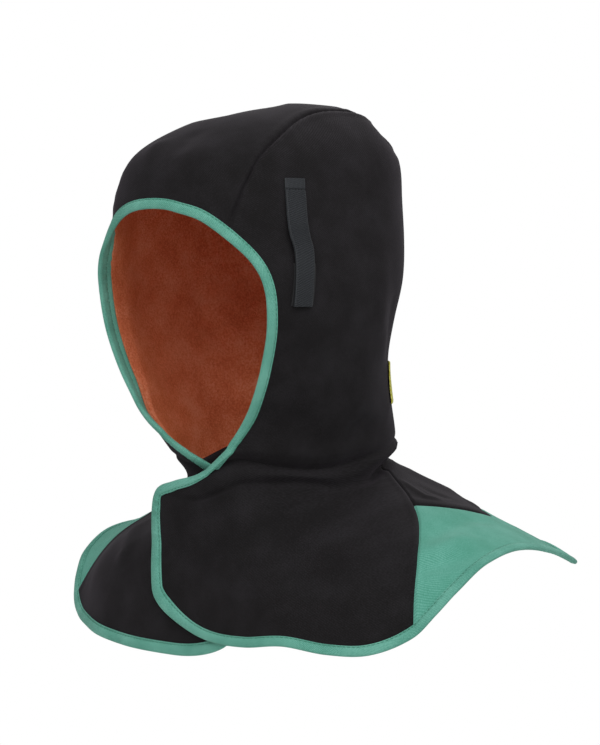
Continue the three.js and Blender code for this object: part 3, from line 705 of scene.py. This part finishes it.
def cape_cloth(angle, s, side):
    """Points on the cape's outer face, with its seams, roll and folds, and the normals of its plain form."""
    angle, s, side = np.broadcast_arrays(angle, s, side)
    points = cape(angle, s, side)
    round_it, down = cape_slopes(angle, s, side)
    away = outwards(points)[0]
    facing = unit(lerp(unit(np.cross(down, round_it)), away, smooth(0.08, 0.02, s)[..., None]))
    turn = np.arctan2(np.sin(angle), np.cos(angle))
    free = smooth_deg(-12, 6, turn * side) * np.where(side > 0, 1, smooth(0.8, 1.3, np.abs(turn)))
    turn = np.abs(turn)
    reach = np.linalg.norm(points[..., :2] - [0, TURN_Y], axis=-1)
    crease = spline(ROLL["deg"], ROLL["s"], np.degrees(turn))
    nape = smooth_deg(90, 115, turn)
    deep = 3.0 - 1.8 * smooth_deg(40, 60, turn) + 2.8 * nape
    height = lerp(2.0, 3.2, nape) * bump(s, crease * lerp(0.5, 0.27, nape), crease * 0.3)
    roll = free * (height - deep * bump(s, crease * 1.05, 0.018))
    to_raglan = (turn - raglan(s)) * reach
    to_yoke = np.where(turn > raglan(s), s - yoke_border(turn), 1) * CAPE_LENGTH
    seam = (seam_height(to_raglan, RAGLAN_SEAM) + seam_height(to_yoke, YOKE_SEAM)) * smooth(1, 0.93, s)
    folds = sum(ridge(points, line, height, width) for height, width, line in CAPE_FOLDS)
    swell = smooth(0.1, 0.5, s) * drift(points, 85, 11)
    relief = (seam + roll + folds + swell) * smooth(0, 0.03, s) - neck_tuck(turn) * bump(s, 0, 0.015)
    return points + facing * relief[..., None], facing


def edge_angle(s, side):
    """Angle of a front's bound edge, which turns into the hem at a rounded corner."""
    line, (start, turn) = (LEFT_EDGE, CORNER_LEFT) if side > 0 else (RIGHT_EDGE, CORNER_RIGHT)
    corner = np.clip((s - start) / (1 - start), 0, 1)
    return np.radians(spline(line["s"], line["deg"], s) + turn * (1 - np.sqrt(1 - corner ** 2)))


def back_side(angle):
    return np.where(angle > np.pi, -1, 1)


def back_angle(s, u):
    return lerp(raglan(s), 2 * np.pi - raglan(s), u)


green_twill = twill("green_cotton_twill", "#539f89", "#60ab97", "#71b9a7", sheen="#e4f6f0")
back_even = np.linspace(-1, 1, 301)[None, :]
back_span = 0.5 + 0.5 * lerp(back_even, np.sin(back_even * np.pi / 2), 0.5)
border = np.full(back_span.shape, YOKE["s"][0])
for _ in range(40):
    border = lerp(border, yoke_border(back_angle(border, back_span)), 0.4)
half_even = np.linspace(0, 1, 70)[:, None]
yoke_s = border * np.sin(half_even * np.pi / 2)
panel_s = lerp(border, 1, half_even ** 1.3)
for name, s, material, slot, flat, area in (
    ("back_yoke", yoke_s, black_twill, "black_cloth", (0.36, 0.1), 0.024),
    ("back_panel", panel_s, green_twill, "green_cloth", (0.68, 0.1), 0.038),
):
    angle = back_angle(s, back_span)
    panel = cloth_sheet(f"{name}_cloth", *cape_cloth(angle, s, back_side(angle)), SHELL, material, [0, 1])
    finish_cloth(panel, name, slot, flat, "draped", area)
front_s = np.sin(np.linspace(0, 1, 140)[:, None] ** 1.25 * np.pi / 2)
front_span = 1 - np.linspace(1, 0, 160)[None, :] ** 1.25
for name, side, area in (("cape_front_left", 1, 0.026), ("cape_front_right", -1, 0.03)):
    turn = side * lerp(edge_angle(front_s, side), raglan(front_s), front_span)
    front = cloth_sheet(f"{name}_cloth", *cape_cloth(turn, front_s, side), SHELL, black_twill, [0, 2])
    finish_cloth(front, name, "black_cloth", (0.26, 0.13), "draped", area)

# Edge binding
# Green cotton bias tape, folded over every free edge: round the face, down both fronts and along the hem.
# One lock-stitched row near its inner fold holds both leaves and draws the tape into small puckers.
TAPE_WIDTH = 8.4
FRONT_SHARE = 0.66
BIND_STEP = 0.8
BIND_LIFT = 0.9
BIND_FOOT = 0.12
STITCH_ROW = 0.8
BACK_ROW = STITCH_ROW * FRONT_SHARE
STITCH_PITCH = 3.2
FACE_END = (3.09, 2.83)
EDGE_START = 0.03
EDGE_STATIONS = 160
TURN_REACH = 6
TURN_SPREAD = 16
RIGHT_BROAD = 1.21
shares = np.linspace(0, 1, 6)


def square_in(edge, facing, first, second):
    """How much a surface's two parameters change per millimetre square in from its edge."""
    inward = unit(np.cross(facing, np.gradient(edge, axis=0)))
    aa = np.sum(first * first, -1)
    bb = np.sum(second * second, -1)
    ab = np.sum(first * second, -1)
    ia = np.sum(inward * first, -1)
    ib = np.sum(inward * second, -1)
    scale = aa * bb - ab * ab
    return inward, ((ia * bb - ib * ab) / scale)[:, None], ((ib * aa - ia * ab) / scale)[:, None]


def eased(values, size):
    """Running average along the first axis, over a number of steps and heaviest in their middle."""
    window = np.hanning(size) / np.hanning(size).sum()

    def average(row):
        return np.convolve(np.pad(row, size // 2, mode="edge"), window, mode="valid")

    return np.apply_along_axis(average, 0, values)


def face_stations():
    """Points on the hood from the face's edge inwards, for stations round the edge, with normals."""
    step = 1e-3
    psi = np.linspace(-FACE_END[0], FACE_END[1], 300)
    t = rim_ring(psi)
    edge = hood(t, psi)[0]
    by_psi = (hood(t, psi + step)[0] - hood(t, psi - step)[0]) / (2 * step)
    by_t = (hood(t + step, psi)[0] - edge) / step
    _, psi_in, t_in = square_in(edge, hood_facing(edge), by_psi, by_t)
    inset = shares * TAPE_WIDTH * lerp(1, 0.7, smooth(2.5, 2.8, psi))[:, None]
    return hood_cloth(np.minimum(t[:, None] + t_in * inset, 1), psi[:, None] + psi_in * inset)


def cape_stations():
    """Points on the cape from its edge inwards: down the left front, round the hem and up the right front.
    The strip narrows in a tight bend."""
    s = lerp(EDGE_START, 1, np.sin(np.linspace(0, 1, EDGE_STATIONS) ** 1.2 * np.pi / 2))
    left = edge_angle(s, 1)
    right = 2 * np.pi - edge_angle(s, -1)
    hem = np.linspace(left[-1], right[-1], 620)[1:-1]
    angle = np.concatenate([left, hem, right[::-1]])
    share = np.concatenate([s, np.ones(hem.shape), s[::-1]])
    side = np.concatenate([np.ones(EDGE_STATIONS), back_side(hem), -np.ones(EDGE_STATIONS)])
    edge = cape(angle, share, side)
    round_it, down = cape_slopes(angle, np.minimum(share, 0.999), side)
    inward, turn_in, share_in = square_in(edge, np.cross(down, round_it), round_it, down)
    ahead = np.gradient(edge, axis=0)
    bend = np.sum(np.gradient(unit(ahead), axis=0) * inward, -1) / np.linalg.norm(ahead, axis=-1)
    down_left = 0.72 + 0.3 * smooth(0.03, 0.1, s) + 0.53 * smooth(0.1, 0.2, s) * smooth(1, 0.8, s)
    along_hem = lerp(1.0, RIGHT_BROAD, smooth_deg(150, 210, hem))
    broad = np.concatenate([down_left, along_hem, np.full(EDGE_STATIONS, RIGHT_BROAD)])
    width = eased(np.minimum(TAPE_WIDTH * broad, 0.8 / np.maximum(bend, 1e-4)), 17)
    inset = shares * width[:, None]
    inner_share = np.clip(share[:, None] + share_in * inset, 0.001, 1)
    return angle, cape_cloth(angle[:, None] + turn_in * inset, inner_share, side[:, None])


# The tape is one loop, laid out from the back of the hem: right front, face, left front, and back again.
hem_angle, (hem_points, hem_facing) = cape_stations()
face_points, face_facing = face_stations()
half = int(np.argmin(np.abs(hem_angle - np.pi)))
loop = np.concatenate([hem_points[half:], face_points, hem_points[:half + 1]])
loop_facing = np.concatenate([hem_facing[half:], face_facing, hem_facing[:half + 1]])
steps = np.linalg.norm(np.diff(loop[:, 0], axis=0), axis=-1)
walk = np.concatenate([[0], np.maximum(steps, 0.02).cumsum()])
places = np.arange(0, walk[-1], BIND_STEP)
columns = np.concatenate([loop, loop_facing], -1).reshape(len(loop), -1)
laid = np.stack([spline(walk, column, places) for column in columns.T], -1)
laid = laid.reshape(len(places), len(shares), 6)
face_from = walk[len(hem_points) - half] - TURN_REACH
face_to = walk[len(hem_points) - half + len(face_points) - 1] + TURN_REACH
# Where the tape passes from the hood's edge to a front's, its inner side is drawn smooth.
inset = laid[:, 1:] - laid[:, :1]
near = sum(bump(places, passing, TURN_SPREAD) for passing in (face_from + TURN_REACH, face_to - TURN_REACH))
near = near[:, None, None]
laid[:, 1:] = laid[:, :1] + lerp(inset, eased(inset, 41), near)
# There the back leaf is no wider than the front one, so that it stays behind the cloth.
beyond = laid[:, 4:] - laid[:, 3:4]
laid[:, 4:] = laid[:, 3:4] + beyond * lerp(1, 0.15, near)

GATHERS = [
    # place of a bunch of wrinkles, its spread and its height
    ((-34, -62, -268), 5, 0.7),
    ((-35, -62, -277), 5, 0.7),
    ((-34, -63, -293), 7, 0.4),
    ((-70, -79, -107), 8, 0.8),
    ((-76, -71, -130), 10, 0.4),
]
FRONT_LEAF = [1.0, 0.985, 0.95, 0.9, 0.85, 0.8, 0.75, 0.7, 0.6, 0.45, 0.3, 0.15, 0.04]
BACK_LEAF = [0.04, 0.15, 0.28, 0.4, 0.45, 0.49, 0.528, 0.57, 0.62, 0.72, 0.85, 0.95, 0.985, 1.0]
FOOT = [0.98, 0.6, 0.3, 0.04]
FOLD_TURNS = np.radians([70, 45, 20, -5, -30, -55, -75])


def bias_tape(name, strip, walk, material):
    """The folded tape over a strip of stations, and the two lines that its stitches follow."""
    edge = strip[:, :, :3]
    facing = unit(strip[:, :, 3:])
    out = unit(edge[:, 0] - edge[:, 1])
    gather = np.zeros(len(walk))
    for centre, spread, height in GATHERS:
        gather += height * bump(np.linalg.norm(edge[:, 0] - centre, axis=-1), 0, spread)
    slow = 0.6 + 0.4 * np.sin(walk / 37) * np.sin(walk / 61 + 1)
    stitch = np.cos(2 * np.pi * walk / STITCH_PITCH)
    wave = np.sin(2 * np.pi * walk / 8.5 + 1.5 * np.sin(walk / 23))
    ripple = np.sin(2 * np.pi * walk / 5.3 + 2 * np.sin(walk / 31))

    def at(share, height):
        k = min(int(share * 5), 4)
        part = share * 5 - k
        normal = unit(lerp(facing[:, k], facing[:, k + 1], part))
        return lerp(edge[:, k], edge[:, k + 1], part) + normal * np.reshape(height, (-1, 1))

    def over(share, stitched):
        roll = 0.5 * np.sin(np.pi * min(share / stitched, 1))
        row = bump(share, stitched, 0.055)
        near = bump(share, stitched, 0.3)
        height = BIND_LIFT + roll - 0.75 * row - 0.18 * row * stitch
        height = height + near * slow * (0.14 * ripple - 0.1 * stitch)
        height = height + gather * wave * smooth(0, 0.35, share) * smooth(1, 0.75, share)
        return lerp(BIND_FOOT, np.maximum(height, 0.5), smooth(1.0, 0.95, share))

    radius = (SHELL / 2 + over(0.0, STITCH_ROW))[:, None]
    middle = edge[:, 0] - facing[:, 0] * SHELL / 2
    fold = [middle + radius * (out * np.cos(turn) + facing[:, 0] * np.sin(turn)) for turn in FOLD_TURNS]
    front = [at(share * FRONT_SHARE, over(share, STITCH_ROW)) for share in FRONT_LEAF]
    back = [at(share, -SHELL - over(share, BACK_ROW)) for share in BACK_LEAF]
    outer = front + fold + back
    inner = [at(share, -SHELL - BIND_FOOT) for share in FOOT]
    inner += [at(share * FRONT_SHARE, BIND_FOOT) for share in FOOT[::-1]]
    rings = np.stack(outer + inner, 1)
    count, around = rings.shape[:2]
    ids = np.arange(count * around).reshape(count, around)
    after = np.roll(ids, -1, axis=1)
    faces = np.stack([ids[:-1], after[:-1], after[1:], ids[1:]], -1).reshape(-1, 4).tolist()
    # Each end is closed by a strip between the outer line and the line next to the cloth.
    outs = len(outer)
    pairs = [around - 1 - round(k * (len(inner) - 1) / (outs - 1)) for k in range(outs)]
    for k in range(outs - 1):
        cap = list(dict.fromkeys([k, pairs[k], pairs[k + 1], k + 1]))
        faces.append([int(ids[0, c]) for c in cap[::-1]])
        faces.append([int(ids[-1, c]) for c in cap])
    girth = np.linalg.norm(np.diff(rings, axis=1), axis=-1).cumsum(1)
    v = np.pad(girth, ((0, 0), (1, 0)))
    uv = np.stack([np.repeat(walk[:, None], around, 1), v], -1).reshape(-1, 2)
    piece = build_mesh(name, rings.reshape(-1, 3), faces, material, uv)
    normal = facing[:, 3]
    rows = [(at(BACK_ROW, over(STITCH_ROW, STITCH_ROW) + 0.1), normal),
            (at(BACK_ROW, -SHELL - over(BACK_ROW, BACK_ROW) - 0.1), -normal)]
    return piece, rows


def thread(name, *colours):
    """Spun sewing thread: two plies twisted together, matt. The ply's slant is 0.4 mm long."""
    material, tree = blank_material(name)
    place = add(tree, "ShaderNodeTexCoord").outputs["Object"]
    ply = add(tree, "ShaderNodeTexNoise", Vector=place, Scale=1 / 0.0004, Detail=2.0).outputs["Fac"]
    return finish_material(material, colours, ply, ply, 0.5, 0.0001, Roughness=0.7, Sheen_Weight=0.1,
                           Specular_IOR_Level=0.3)


def start_tree(name, *sizes):
    """A Geometry Nodes tree on a mesh, with sizes and a material to give: the tree, its inputs and the way
    that the mesh's points face."""
    tree = bpy.data.node_groups.new(name, "GeometryNodeTree")
    sockets = [("Geometry", "Geometry"), *((size, "Float") for size in sizes), ("Material", "Material")]
    for socket, kind in sockets:
        tree.interface.new_socket(socket, in_out="INPUT", socket_type=f"NodeSocket{kind}")
    tree.interface.new_socket("Geometry", in_out="OUTPUT", socket_type="NodeSocketGeometry")
    facing = add(tree, "GeometryNodeInputNamedAttribute", {"data_type": "FLOAT_VECTOR"}, Name="facing")
    return tree, add(tree, "NodeGroupInput").outputs, facing.outputs["Attribute"]


def finish_tree(tree, given, points, shape, upright, turns, seed, **size):
    """Sets a shape upright on every point, turned at random between two angles, in the given material."""
    turn = add(tree, "FunctionNodeRandomValue", {"data_type": "FLOAT"}, i2=turns[0], i3=turns[1], Seed=seed)
    about = add(tree, "ShaderNodeCombineXYZ", Z=turn.outputs[1])
    euler = add(tree, "FunctionNodeEulerToRotation", Euler=about)
    turned = add(tree, "FunctionNodeRotateRotation", {"rotation_space": "LOCAL"},
                 Rotation=upright, Rotate_By=euler)
    placed = add(tree, "GeometryNodeInstanceOnPoints", Points=points, Instance=shape,
                 Rotation=turned, **size)
    real = add(tree, "GeometryNodeRealizeInstances", Geometry=placed)
    dressed = add(tree, "GeometryNodeSetMaterial", Geometry=real, Material=given["Material"])
    add(tree, "NodeGroupOutput", Geometry=dressed)
    return tree


def stitch_tree():
    """Puts a short raised dash of thread at every pitch along the lines of a mesh, lying on their facing."""
    tree, given, facing = start_tree("lock_stitches", "Pitch", "Length", "Width", "Lean")
    curve = add(tree, "GeometryNodeMeshToCurve", Mesh=given["Geometry"])
    spaced = add(tree, "GeometryNodeResampleCurve", {"mode": "LENGTH"}, Curve=curve,
                 Length=given["Pitch"])
    tangent = add(tree, "GeometryNodeInputTangent")
    along = add(tree, "FunctionNodeAlignRotationToVector", {"axis": "X"}, Vector=tangent)
    upright = add(tree, "FunctionNodeAlignRotationToVector", {"axis": "Z", "pivot_axis": "X"},
                  Rotation=along, Vector=facing)
    back = add(tree, "ShaderNodeMath", {"operation": "MULTIPLY"}, i0=given["Lean"], i1=-1.0)
    dash = add(tree, "GeometryNodeMeshUVSphere", Segments=8, Rings=6, Radius=0.5)
    soft = add(tree, "GeometryNodeSetShadeSmooth", Geometry=dash)
    size = add(tree, "ShaderNodeCombineXYZ", X=given["Length"], Y=given["Width"], Z=given["Width"])
    return finish_tree(tree, given, spaced, soft, upright,
                       (back, given["Lean"]), 5, Scale=size)


def grow(name, mesh, tree, **inputs):
    """The plain mesh that a Geometry Nodes tree makes on a mesh."""
    guide = link(f"{name}_guide", mesh)
    modifier = guide.modifiers.new("grow", "NODES")
    modifier.node_group = tree
    for item in tree.interface.items_tree:
        if item.in_out == "INPUT" and item.name in inputs:
            modifier[item.identifier] = inputs[item.name]
    bpy.context.view_layer.update()
    made = bpy.data.meshes.new_from_object(guide.evaluated_get(bpy.context.evaluated_depsgraph_get()))
    made.name = name
    bpy.data.objects.remove(guide)
    bpy.data.meshes.remove(mesh)
    return link(name, made)


lock_stitches = stitch_tree()


def facing_mesh(name, points, edges, facing):
    """A mesh to grow something on, whose points know which way they face."""
    mesh = bpy.data.meshes.new(name)
    mesh.from_pydata((points.reshape(-1, 3) * MM).tolist(), edges, [])
    layer = mesh.attributes.new("facing", "FLOAT_VECTOR", "POINT")
    layer.data.foreach_set("vector", facing.astype(np.float32).ravel())
    return mesh


def sew(name, rows, colour, pitch=STITCH_PITCH, long=2.3, wide=0.55):
    """Rows of stitches. Each row is a line of points and the way that they face."""
    ends = np.cumsum([0] + [len(line) for line, _ in rows])
    edges = [(k, k + 1) for start, end in zip(ends, ends[1:]) for k in range(start, end - 1)]
    points, facing = (np.concatenate(part) for part in zip(*rows))
    path = facing_mesh(f"{name}_path", points, edges, facing)
    return grow(name, path, lock_stitches, Pitch=pitch * MM, Length=long * MM, Width=wide * MM, Lean=0.1,
                Material=colour)


green_tape = twill("green_cotton_bias_tape", "#519784", "#68ae9b", "#7cc0ae", sheen="#e4f6f0")
# The thread is the tape's own green, coloured darker here as painted shade standing in for the shadow in the
# stitch dimples.
green_thread_painted_shade = thread("green_sewing_thread_painted_shade", "#3a7f69", "#458d76", "#559c86")
in_face = (places >= face_from) & (places <= face_to)
first = int(np.argmax(in_face))
last = len(places) - 1 - int(np.argmax(in_face[::-1]))
cape_walk = np.concatenate([places[last:], places[-1] + places[1:first + 1]])
for name, strip, along, flat in (
    ("face_binding", laid[first:last + 1], places[first:last + 1], (0.0175, 0.65)),
    ("cape_binding", np.concatenate([laid[last:], laid[1:first + 1]]), cape_walk, (0.0175, 1.42)),
):
    tape, rows = bias_tape(f"{name}_tape", strip, along, green_tape)
    stitches = sew(f"{name}_stitches", rows, green_thread_painted_shade)
    finish_cloth(tape, name, "green_binding", flat, "folded", stitches=[stitches])

# Helmet straps
# Black polyester webbing 14 mm wide, one on each side, sewn down at the top and free at its lower end.
# It goes round a helmet's head band and fastens on the patch behind it.
STRAP_HALF = 7.1
STRAP_THICK = 1.4
STRAP_LENGTH = 97.0
STRAP = table(
    "q y z off",
    (0, -40, -49, 0.5), (0.2, -42.5, -65, 1.6), (0.35, -43.5, -78, 2.4), (0.5, -43.5, -88, 3.4),
    (0.62, -42.4, -97, 3.2), (0.8, -43.8, -115, 2.2), (1, -44.7, -133.3, 1.8),
)
SEWN_AT = 0.095
RIB_PITCH = 1.6
RIB_HEIGHT = 0.34
RIB_SLANT = 0.45


SIDES = (("left", [1, 1, 1]), ("right", [-1, 1, 1]))


def on_hood(place, start, off):
    """Points standing off the hood's outer face, with its normals there. They are found by moving out from
    the start along one axis."""
    out = bisect(lambda v: in_hood(*place(v)), start, np.full(start.shape, RING_REACH))
    points = np.stack(place(out), -1)
    facing = hood_facing(points)
    return points + facing * (hood_folds(points) + off)[..., None], facing


def on_side(y, z, off):
    y, z = np.broadcast_arrays(y, z)
    return on_hood(lambda x: (x, y, z), np.zeros(y.shape), off)


def on_strap(q, w, top):
    """Points on the left strap a share of the way down, w off its middle and a height over its underside."""
    y, z, off = (spline(STRAP["q"], STRAP[column], q) for column in ("y", "z", "off"))
    return on_side(y + w, z, off + top)


def webbing(name, *colours):
    """Woven webbing: tight yarns with a dull sheen. Real yarns are 0.5 mm wide; they are drawn at 1 mm."""
    material, tree = blank_material(name)
    place = in_mm(tree)
    yarn = add(tree, "ShaderNodeTexWave", {"wave_profile": "SIN", "bands_direction": "X"}, Vector=place,
               Scale=MM_WAVE, Distortion=0.6)
    fuzz = add(tree, "ShaderNodeTexNoise", Vector=place, Scale=1 / 0.7, Detail=3.0)
    mix = add(tree, "ShaderNodeMix", {"data_type": "FLOAT"}, Factor=0.6, i2=yarn.outputs["Fac"],
              i3=fuzz.outputs["Fac"])
    return finish_material(material, colours, mix, mix, 0.4, 0.0002, Roughness=0.62, Sheen_Weight=0.12,
                           Sheen_Roughness=0.4, Specular_IOR_Level=0.35)


black_webbing = webbing("black_polyester_webbing", "#191b1e", "#23262a", "#31353a")
black_thread = thread("black_sewing_thread", "#0c0c0d", "#131314", "#1d1d1f")
strap_q = np.linspace(0, 1, 320)[:, None]
strap_w = np.sin(np.linspace(-1, 1, 29) * np.pi / 2)[None, :] * STRAP_HALF
rib = np.sin(2 * np.pi * (STRAP_LENGTH * strap_q + RIB_SLANT * strap_w) / RIB_PITCH)
selvedge = smooth(STRAP_HALF - 1.3, STRAP_HALF, np.abs(strap_w))
pressed = smooth(SEWN_AT + 0.02, SEWN_AT - 0.01, strap_q)
strap_top = STRAP_THICK + RIB_HEIGHT * rib * (1 - selvedge) * (1 - 0.6 * pressed) - 0.55 * selvedge ** 2
strap_top = strap_top - 0.35 * pressed - 0.6 * bump(strap_q, SEWN_AT, 0.008)
strap_grid, strap_facing = on_strap(strap_q, strap_w, strap_top)
sewn_w = np.linspace(-STRAP_HALF + 0.8, STRAP_HALF - 0.8, 40)
sewn, sewn_facing = on_strap(np.full(40, SEWN_AT), sewn_w, STRAP_THICK - 0.5)
for label, turn in SIDES:
    name = f"helmet_strap_{label}"
    strap = cloth_sheet(f"{name}_webbing", strap_grid * turn, strap_facing * turn, STRAP_THICK - 0.2,
                        black_webbing)
    row = sew(f"{name}_stitches", [(sewn * turn, sewn_facing * turn)], black_thread, 2.0, 1.7, 0.5)
    finish_cloth(strap, name, "black_webbing", (0.0145, 0.097), "hung", stitches=[row])

# Strap patches and front closure
# Black hook-and-loop tape sewn down flat: a loop patch behind each strap's free end, and a strip on the
# right front that holds the left front over it.
PATCH_Y = -43.0
PATCH_Z = -119.0
PATCH_HALF = (8.5, 14.0)
PATCH_SLANT = 0.1
PATCH_TOP = 1.2
PILE_EVERY = 1.25
CLOSURE_HALF = np.radians(11)
CLOSURE_S = (0.3, 0.62)
CLOSURE_TOP = 1.5


def pile_tree():
    """Sets a small arched loop on every point of a mesh, each turned at random."""
    tree, given, facing = start_tree("loop_pile", "Height", "Yarn")
    upright = add(tree, "FunctionNodeAlignRotationToVector", {"axis": "Z"}, Vector=facing)
    arch = add(tree, "GeometryNodeCurveArc", Resolution=6, Radius=given["Height"], Start_Angle=0.0,
               Sweep_Angle=3.1416)
    stand = add(tree, "GeometryNodeTransform", Geometry=arch, Rotation=(1.5708, 0, 0))
    yarn = add(tree, "GeometryNodeCurvePrimitiveCircle", Resolution=4, Radius=given["Yarn"])
    loop = add(tree, "GeometryNodeCurveToMesh", Curve=stand,
               Profile_Curve=yarn, Fill_Caps=True)
    return finish_tree(tree, given, given["Geometry"], loop, upright, (0.0, 6.28), 9)


loop_pile = pile_tree()
# Nylon loop yarn, as matt as thread
hook_and_loop = thread("black_nylon_hook_and_loop", "#0e0e0f", "#171719", "#242427")


def pile(name, points, facing):
    """Loops standing on a grid of points."""
    field = facing_mesh(f"{name}_field", points, [], facing)
    return grow(name, field, loop_pile, Height=0.55 * MM, Yarn=0.13 * MM, Material=hook_and_loop)


def tape_edge(u, half):
    """Rounded and slightly pressed edge of a flat tape, by the distance from its middle."""
    return -0.4 * smooth(half - 1.5, half, np.abs(u)) ** 2


black_tape = webbing("black_nylon_tape", "#0f0f10", "#18181a", "#232326")
patch_y = PATCH_HALF[0] * np.linspace(-1, 1, 35)[None, :]
patch_z = PATCH_HALF[1] * np.linspace(-1, 1, 57)[:, None]
patch_off = PATCH_TOP + tape_edge(patch_y, PATCH_HALF[0]) + tape_edge(patch_z, PATCH_HALF[1])
patch_grid, patch_facing = on_side(PATCH_Y + patch_y + PATCH_SLANT * patch_z, PATCH_Z + patch_z, patch_off)
loops_y = np.arange(-PATCH_HALF[0] + 1.6, PATCH_HALF[0] - 1.5, PILE_EVERY)[None, :]
loops_z = np.arange(-PATCH_HALF[1] + 1.6, PATCH_HALF[1] - 1.5, PILE_EVERY)[:, None]
loops_at, loops_facing = on_side(PATCH_Y + loops_y + PATCH_SLANT * loops_z, PATCH_Z + loops_z, PATCH_TOP)
for label, turn in SIDES:
    name = f"strap_patch_{label}"
    patch = cloth_sheet(f"{name}_tape", patch_grid * turn, patch_facing * turn, PATCH_TOP - 0.3, black_tape)
    loops = pile(f"{name}_loops", loops_at * turn, loops_facing * turn)
    finish_cloth(patch, name, "hook_and_loop", (0.017, 0.028), "laid", stitches=[loops])


def on_right_front(turn, s):
    points, facing = cape_cloth(turn, s, -1)
    return points + facing * CLOSURE_TOP, facing


closure_turn = CLOSURE_HALF * np.linspace(-1, 1, 41)[None, :]
closure_s = np.linspace(*CLOSURE_S, 51)[:, None]
closure = cloth_sheet("front_closure_tape", *on_right_front(closure_turn, closure_s), CLOSURE_TOP - 0.3,
                      black_tape)
loops_turn = CLOSURE_HALF * np.linspace(-0.9, 0.9, 22)[None, :]
loops_s = np.linspace(CLOSURE_S[0] + 0.02, CLOSURE_S[1] - 0.02, 30)[:, None]
loops = pile("front_closure_loops", *on_right_front(loops_turn, loops_s))
finish_cloth(closure, "front_closure", "hook_and_loop", (0.036, 0.045), "laid", stitches=[loops])

# Neck label
# Plain yellow woven ribbon across the nape, sewn down along both long edges with its ends left free.
LABEL_HALF = (64.0, 15.0)
LABEL_Z = -188.5
LABEL_THICK = 0.7
LABEL_OFF = 0.5
END_LIFT = 0.6
END_FROM = 0.7
LABEL_SEWN = (56, 12.6)


def on_nape(x, z, off):
    x, z = np.broadcast_arrays(x, z)
    return on_hood(lambda y: (x, y, z), np.full(x.shape, TURN_Y), off)


def label_off(x):
    return LABEL_OFF + END_LIFT * smooth(END_FROM, 1, np.abs(x) / LABEL_HALF[0])


yellow_ribbon = webbing("yellow_woven_ribbon", "#cdc647", "#ded858", "#ebe676")
yellow_thread = thread("yellow_sewing_thread", "#a39a2a", "#b8af38", "#cbc34c")
label_x = LABEL_HALF[0] * np.linspace(-1, 1, 121)[None, :]
label_z = LABEL_HALF[1] * np.linspace(-1, 1, 41)[:, None]
label_top = label_off(label_x) + LABEL_THICK + tape_edge(label_z, LABEL_HALF[1])
label_skin = on_nape(label_x, LABEL_Z + label_z, label_top)
label = cloth_sheet("neck_label_ribbon", *label_skin, LABEL_THICK, yellow_ribbon)
row_x = np.linspace(-LABEL_SEWN[0], LABEL_SEWN[0], 110)
row_top = label_off(row_x) + LABEL_THICK
rows = [on_nape(row_x, LABEL_Z + edge, row_top) for edge in (-LABEL_SEWN[1], LABEL_SEWN[1])]
row = sew("neck_label_stitches", rows, yellow_thread, 2.6, 1.9, 0.45)
finish_cloth(label, "neck_label", "yellow_ribbon", (0.15, 0.03), "laid", stitches=[row])

# Studio
# A pale floor well below the held-up hood, a white surround and large soft lights, and the camera
# at the photograph's angle, 1.5 m away with a long lens.
FLOOR_Z = -0.78
FLOOR_RADIUS = 1.4
EYE = Vector((1.0037, -1.1147, -0.118))
AIM = Vector((0.0255, 0.02295, -0.18065))
HOOD_MIDDLE = Vector((0, 0, -0.2))
FOCAL_PIXELS = 2142.9
LONG_SIDE = 745
SURROUND = 0.33
SURROUND_TILT = (0.1, 0.0, 0.14)
floor_material, floor_tree = blank_material("pale_painted_floor")
floor_paint = add(floor_tree, "ShaderNodeBsdfPrincipled", Base_Color=linear("#f0f0ee"), Roughness=0.8)
add(floor_tree, "ShaderNodeOutputMaterial", Surface=floor_paint)
turns = np.linspace(0, 2 * np.pi, 96, endpoint=False)
floor_mesh = bpy.data.meshes.new("floor")
floor_points = np.stack([np.cos(turns), np.sin(turns), np.zeros(96)], -1) * FLOOR_RADIUS + [0, 0, FLOOR_Z]
floor_mesh.from_pydata(floor_points.tolist(), [], [list(range(96))])
floor_mesh.materials.append(floor_material)
link("floor", floor_mesh)

world = bpy.data.worlds.new("white_studio")
world.use_nodes = True
sky = world.node_tree
sky.nodes.clear()
# The surround is seen as plain white, and lights the hood less than the softboxes do, mostly from above.
seen = add(sky, "ShaderNodeLightPath")
way = add(sky, "ShaderNodeTexCoord")
tilt = add(sky, "ShaderNodeVectorMath", {"operation": "DOT_PRODUCT"}, i0=way, i1=SURROUND_TILT)
soft = add(sky, "ShaderNodeMath", {"operation": "ADD"}, i0=tilt.outputs["Value"], i1=SURROUND)
glow = add(sky, "ShaderNodeMix", {"data_type": "FLOAT"}, Factor=seen, i2=soft, i3=1.0)
surround = add(sky, "ShaderNodeBackground", Color=(1, 1, 1, 1), Strength=glow)
add(sky, "ShaderNodeOutputWorld", Surface=surround)
bpy.context.scene.world = world
bpy.context.scene.view_settings.view_transform = "Standard"

LIGHTS = [
    # name, place, size and power
    ("key_softbox", (1.3, -0.5, 1.1), 1.2, 9),
    ("front_softbox", (0.6, -1.5, 1.2), 1.2, 10),
    ("camera_softbox", (1.0, -1.7, 0.3), 1.0, 2.5),
    ("back_softbox", (-0.9, 1.4, 0.9), 1.2, 7),
]
for name, place, size, power in LIGHTS:
    lamp = bpy.data.lights.new(name, "AREA")
    lamp.size = size
    lamp.energy = power
    light = link(name, lamp)
    light.location = place
    light.rotation_euler = (HOOD_MIDDLE - light.location).to_track_quat("-Z", "Y").to_euler()

lens = bpy.data.cameras.new("camera")
lens.sensor_width = 36
lens.lens = FOCAL_PIXELS * lens.sensor_width / LONG_SIDE
camera = link("camera", lens)
camera.location = EYE
camera.rotation_euler = (AIM - EYE).to_track_quat("-Z", "Y").to_euler()
bpy.context.scene.camera = camera
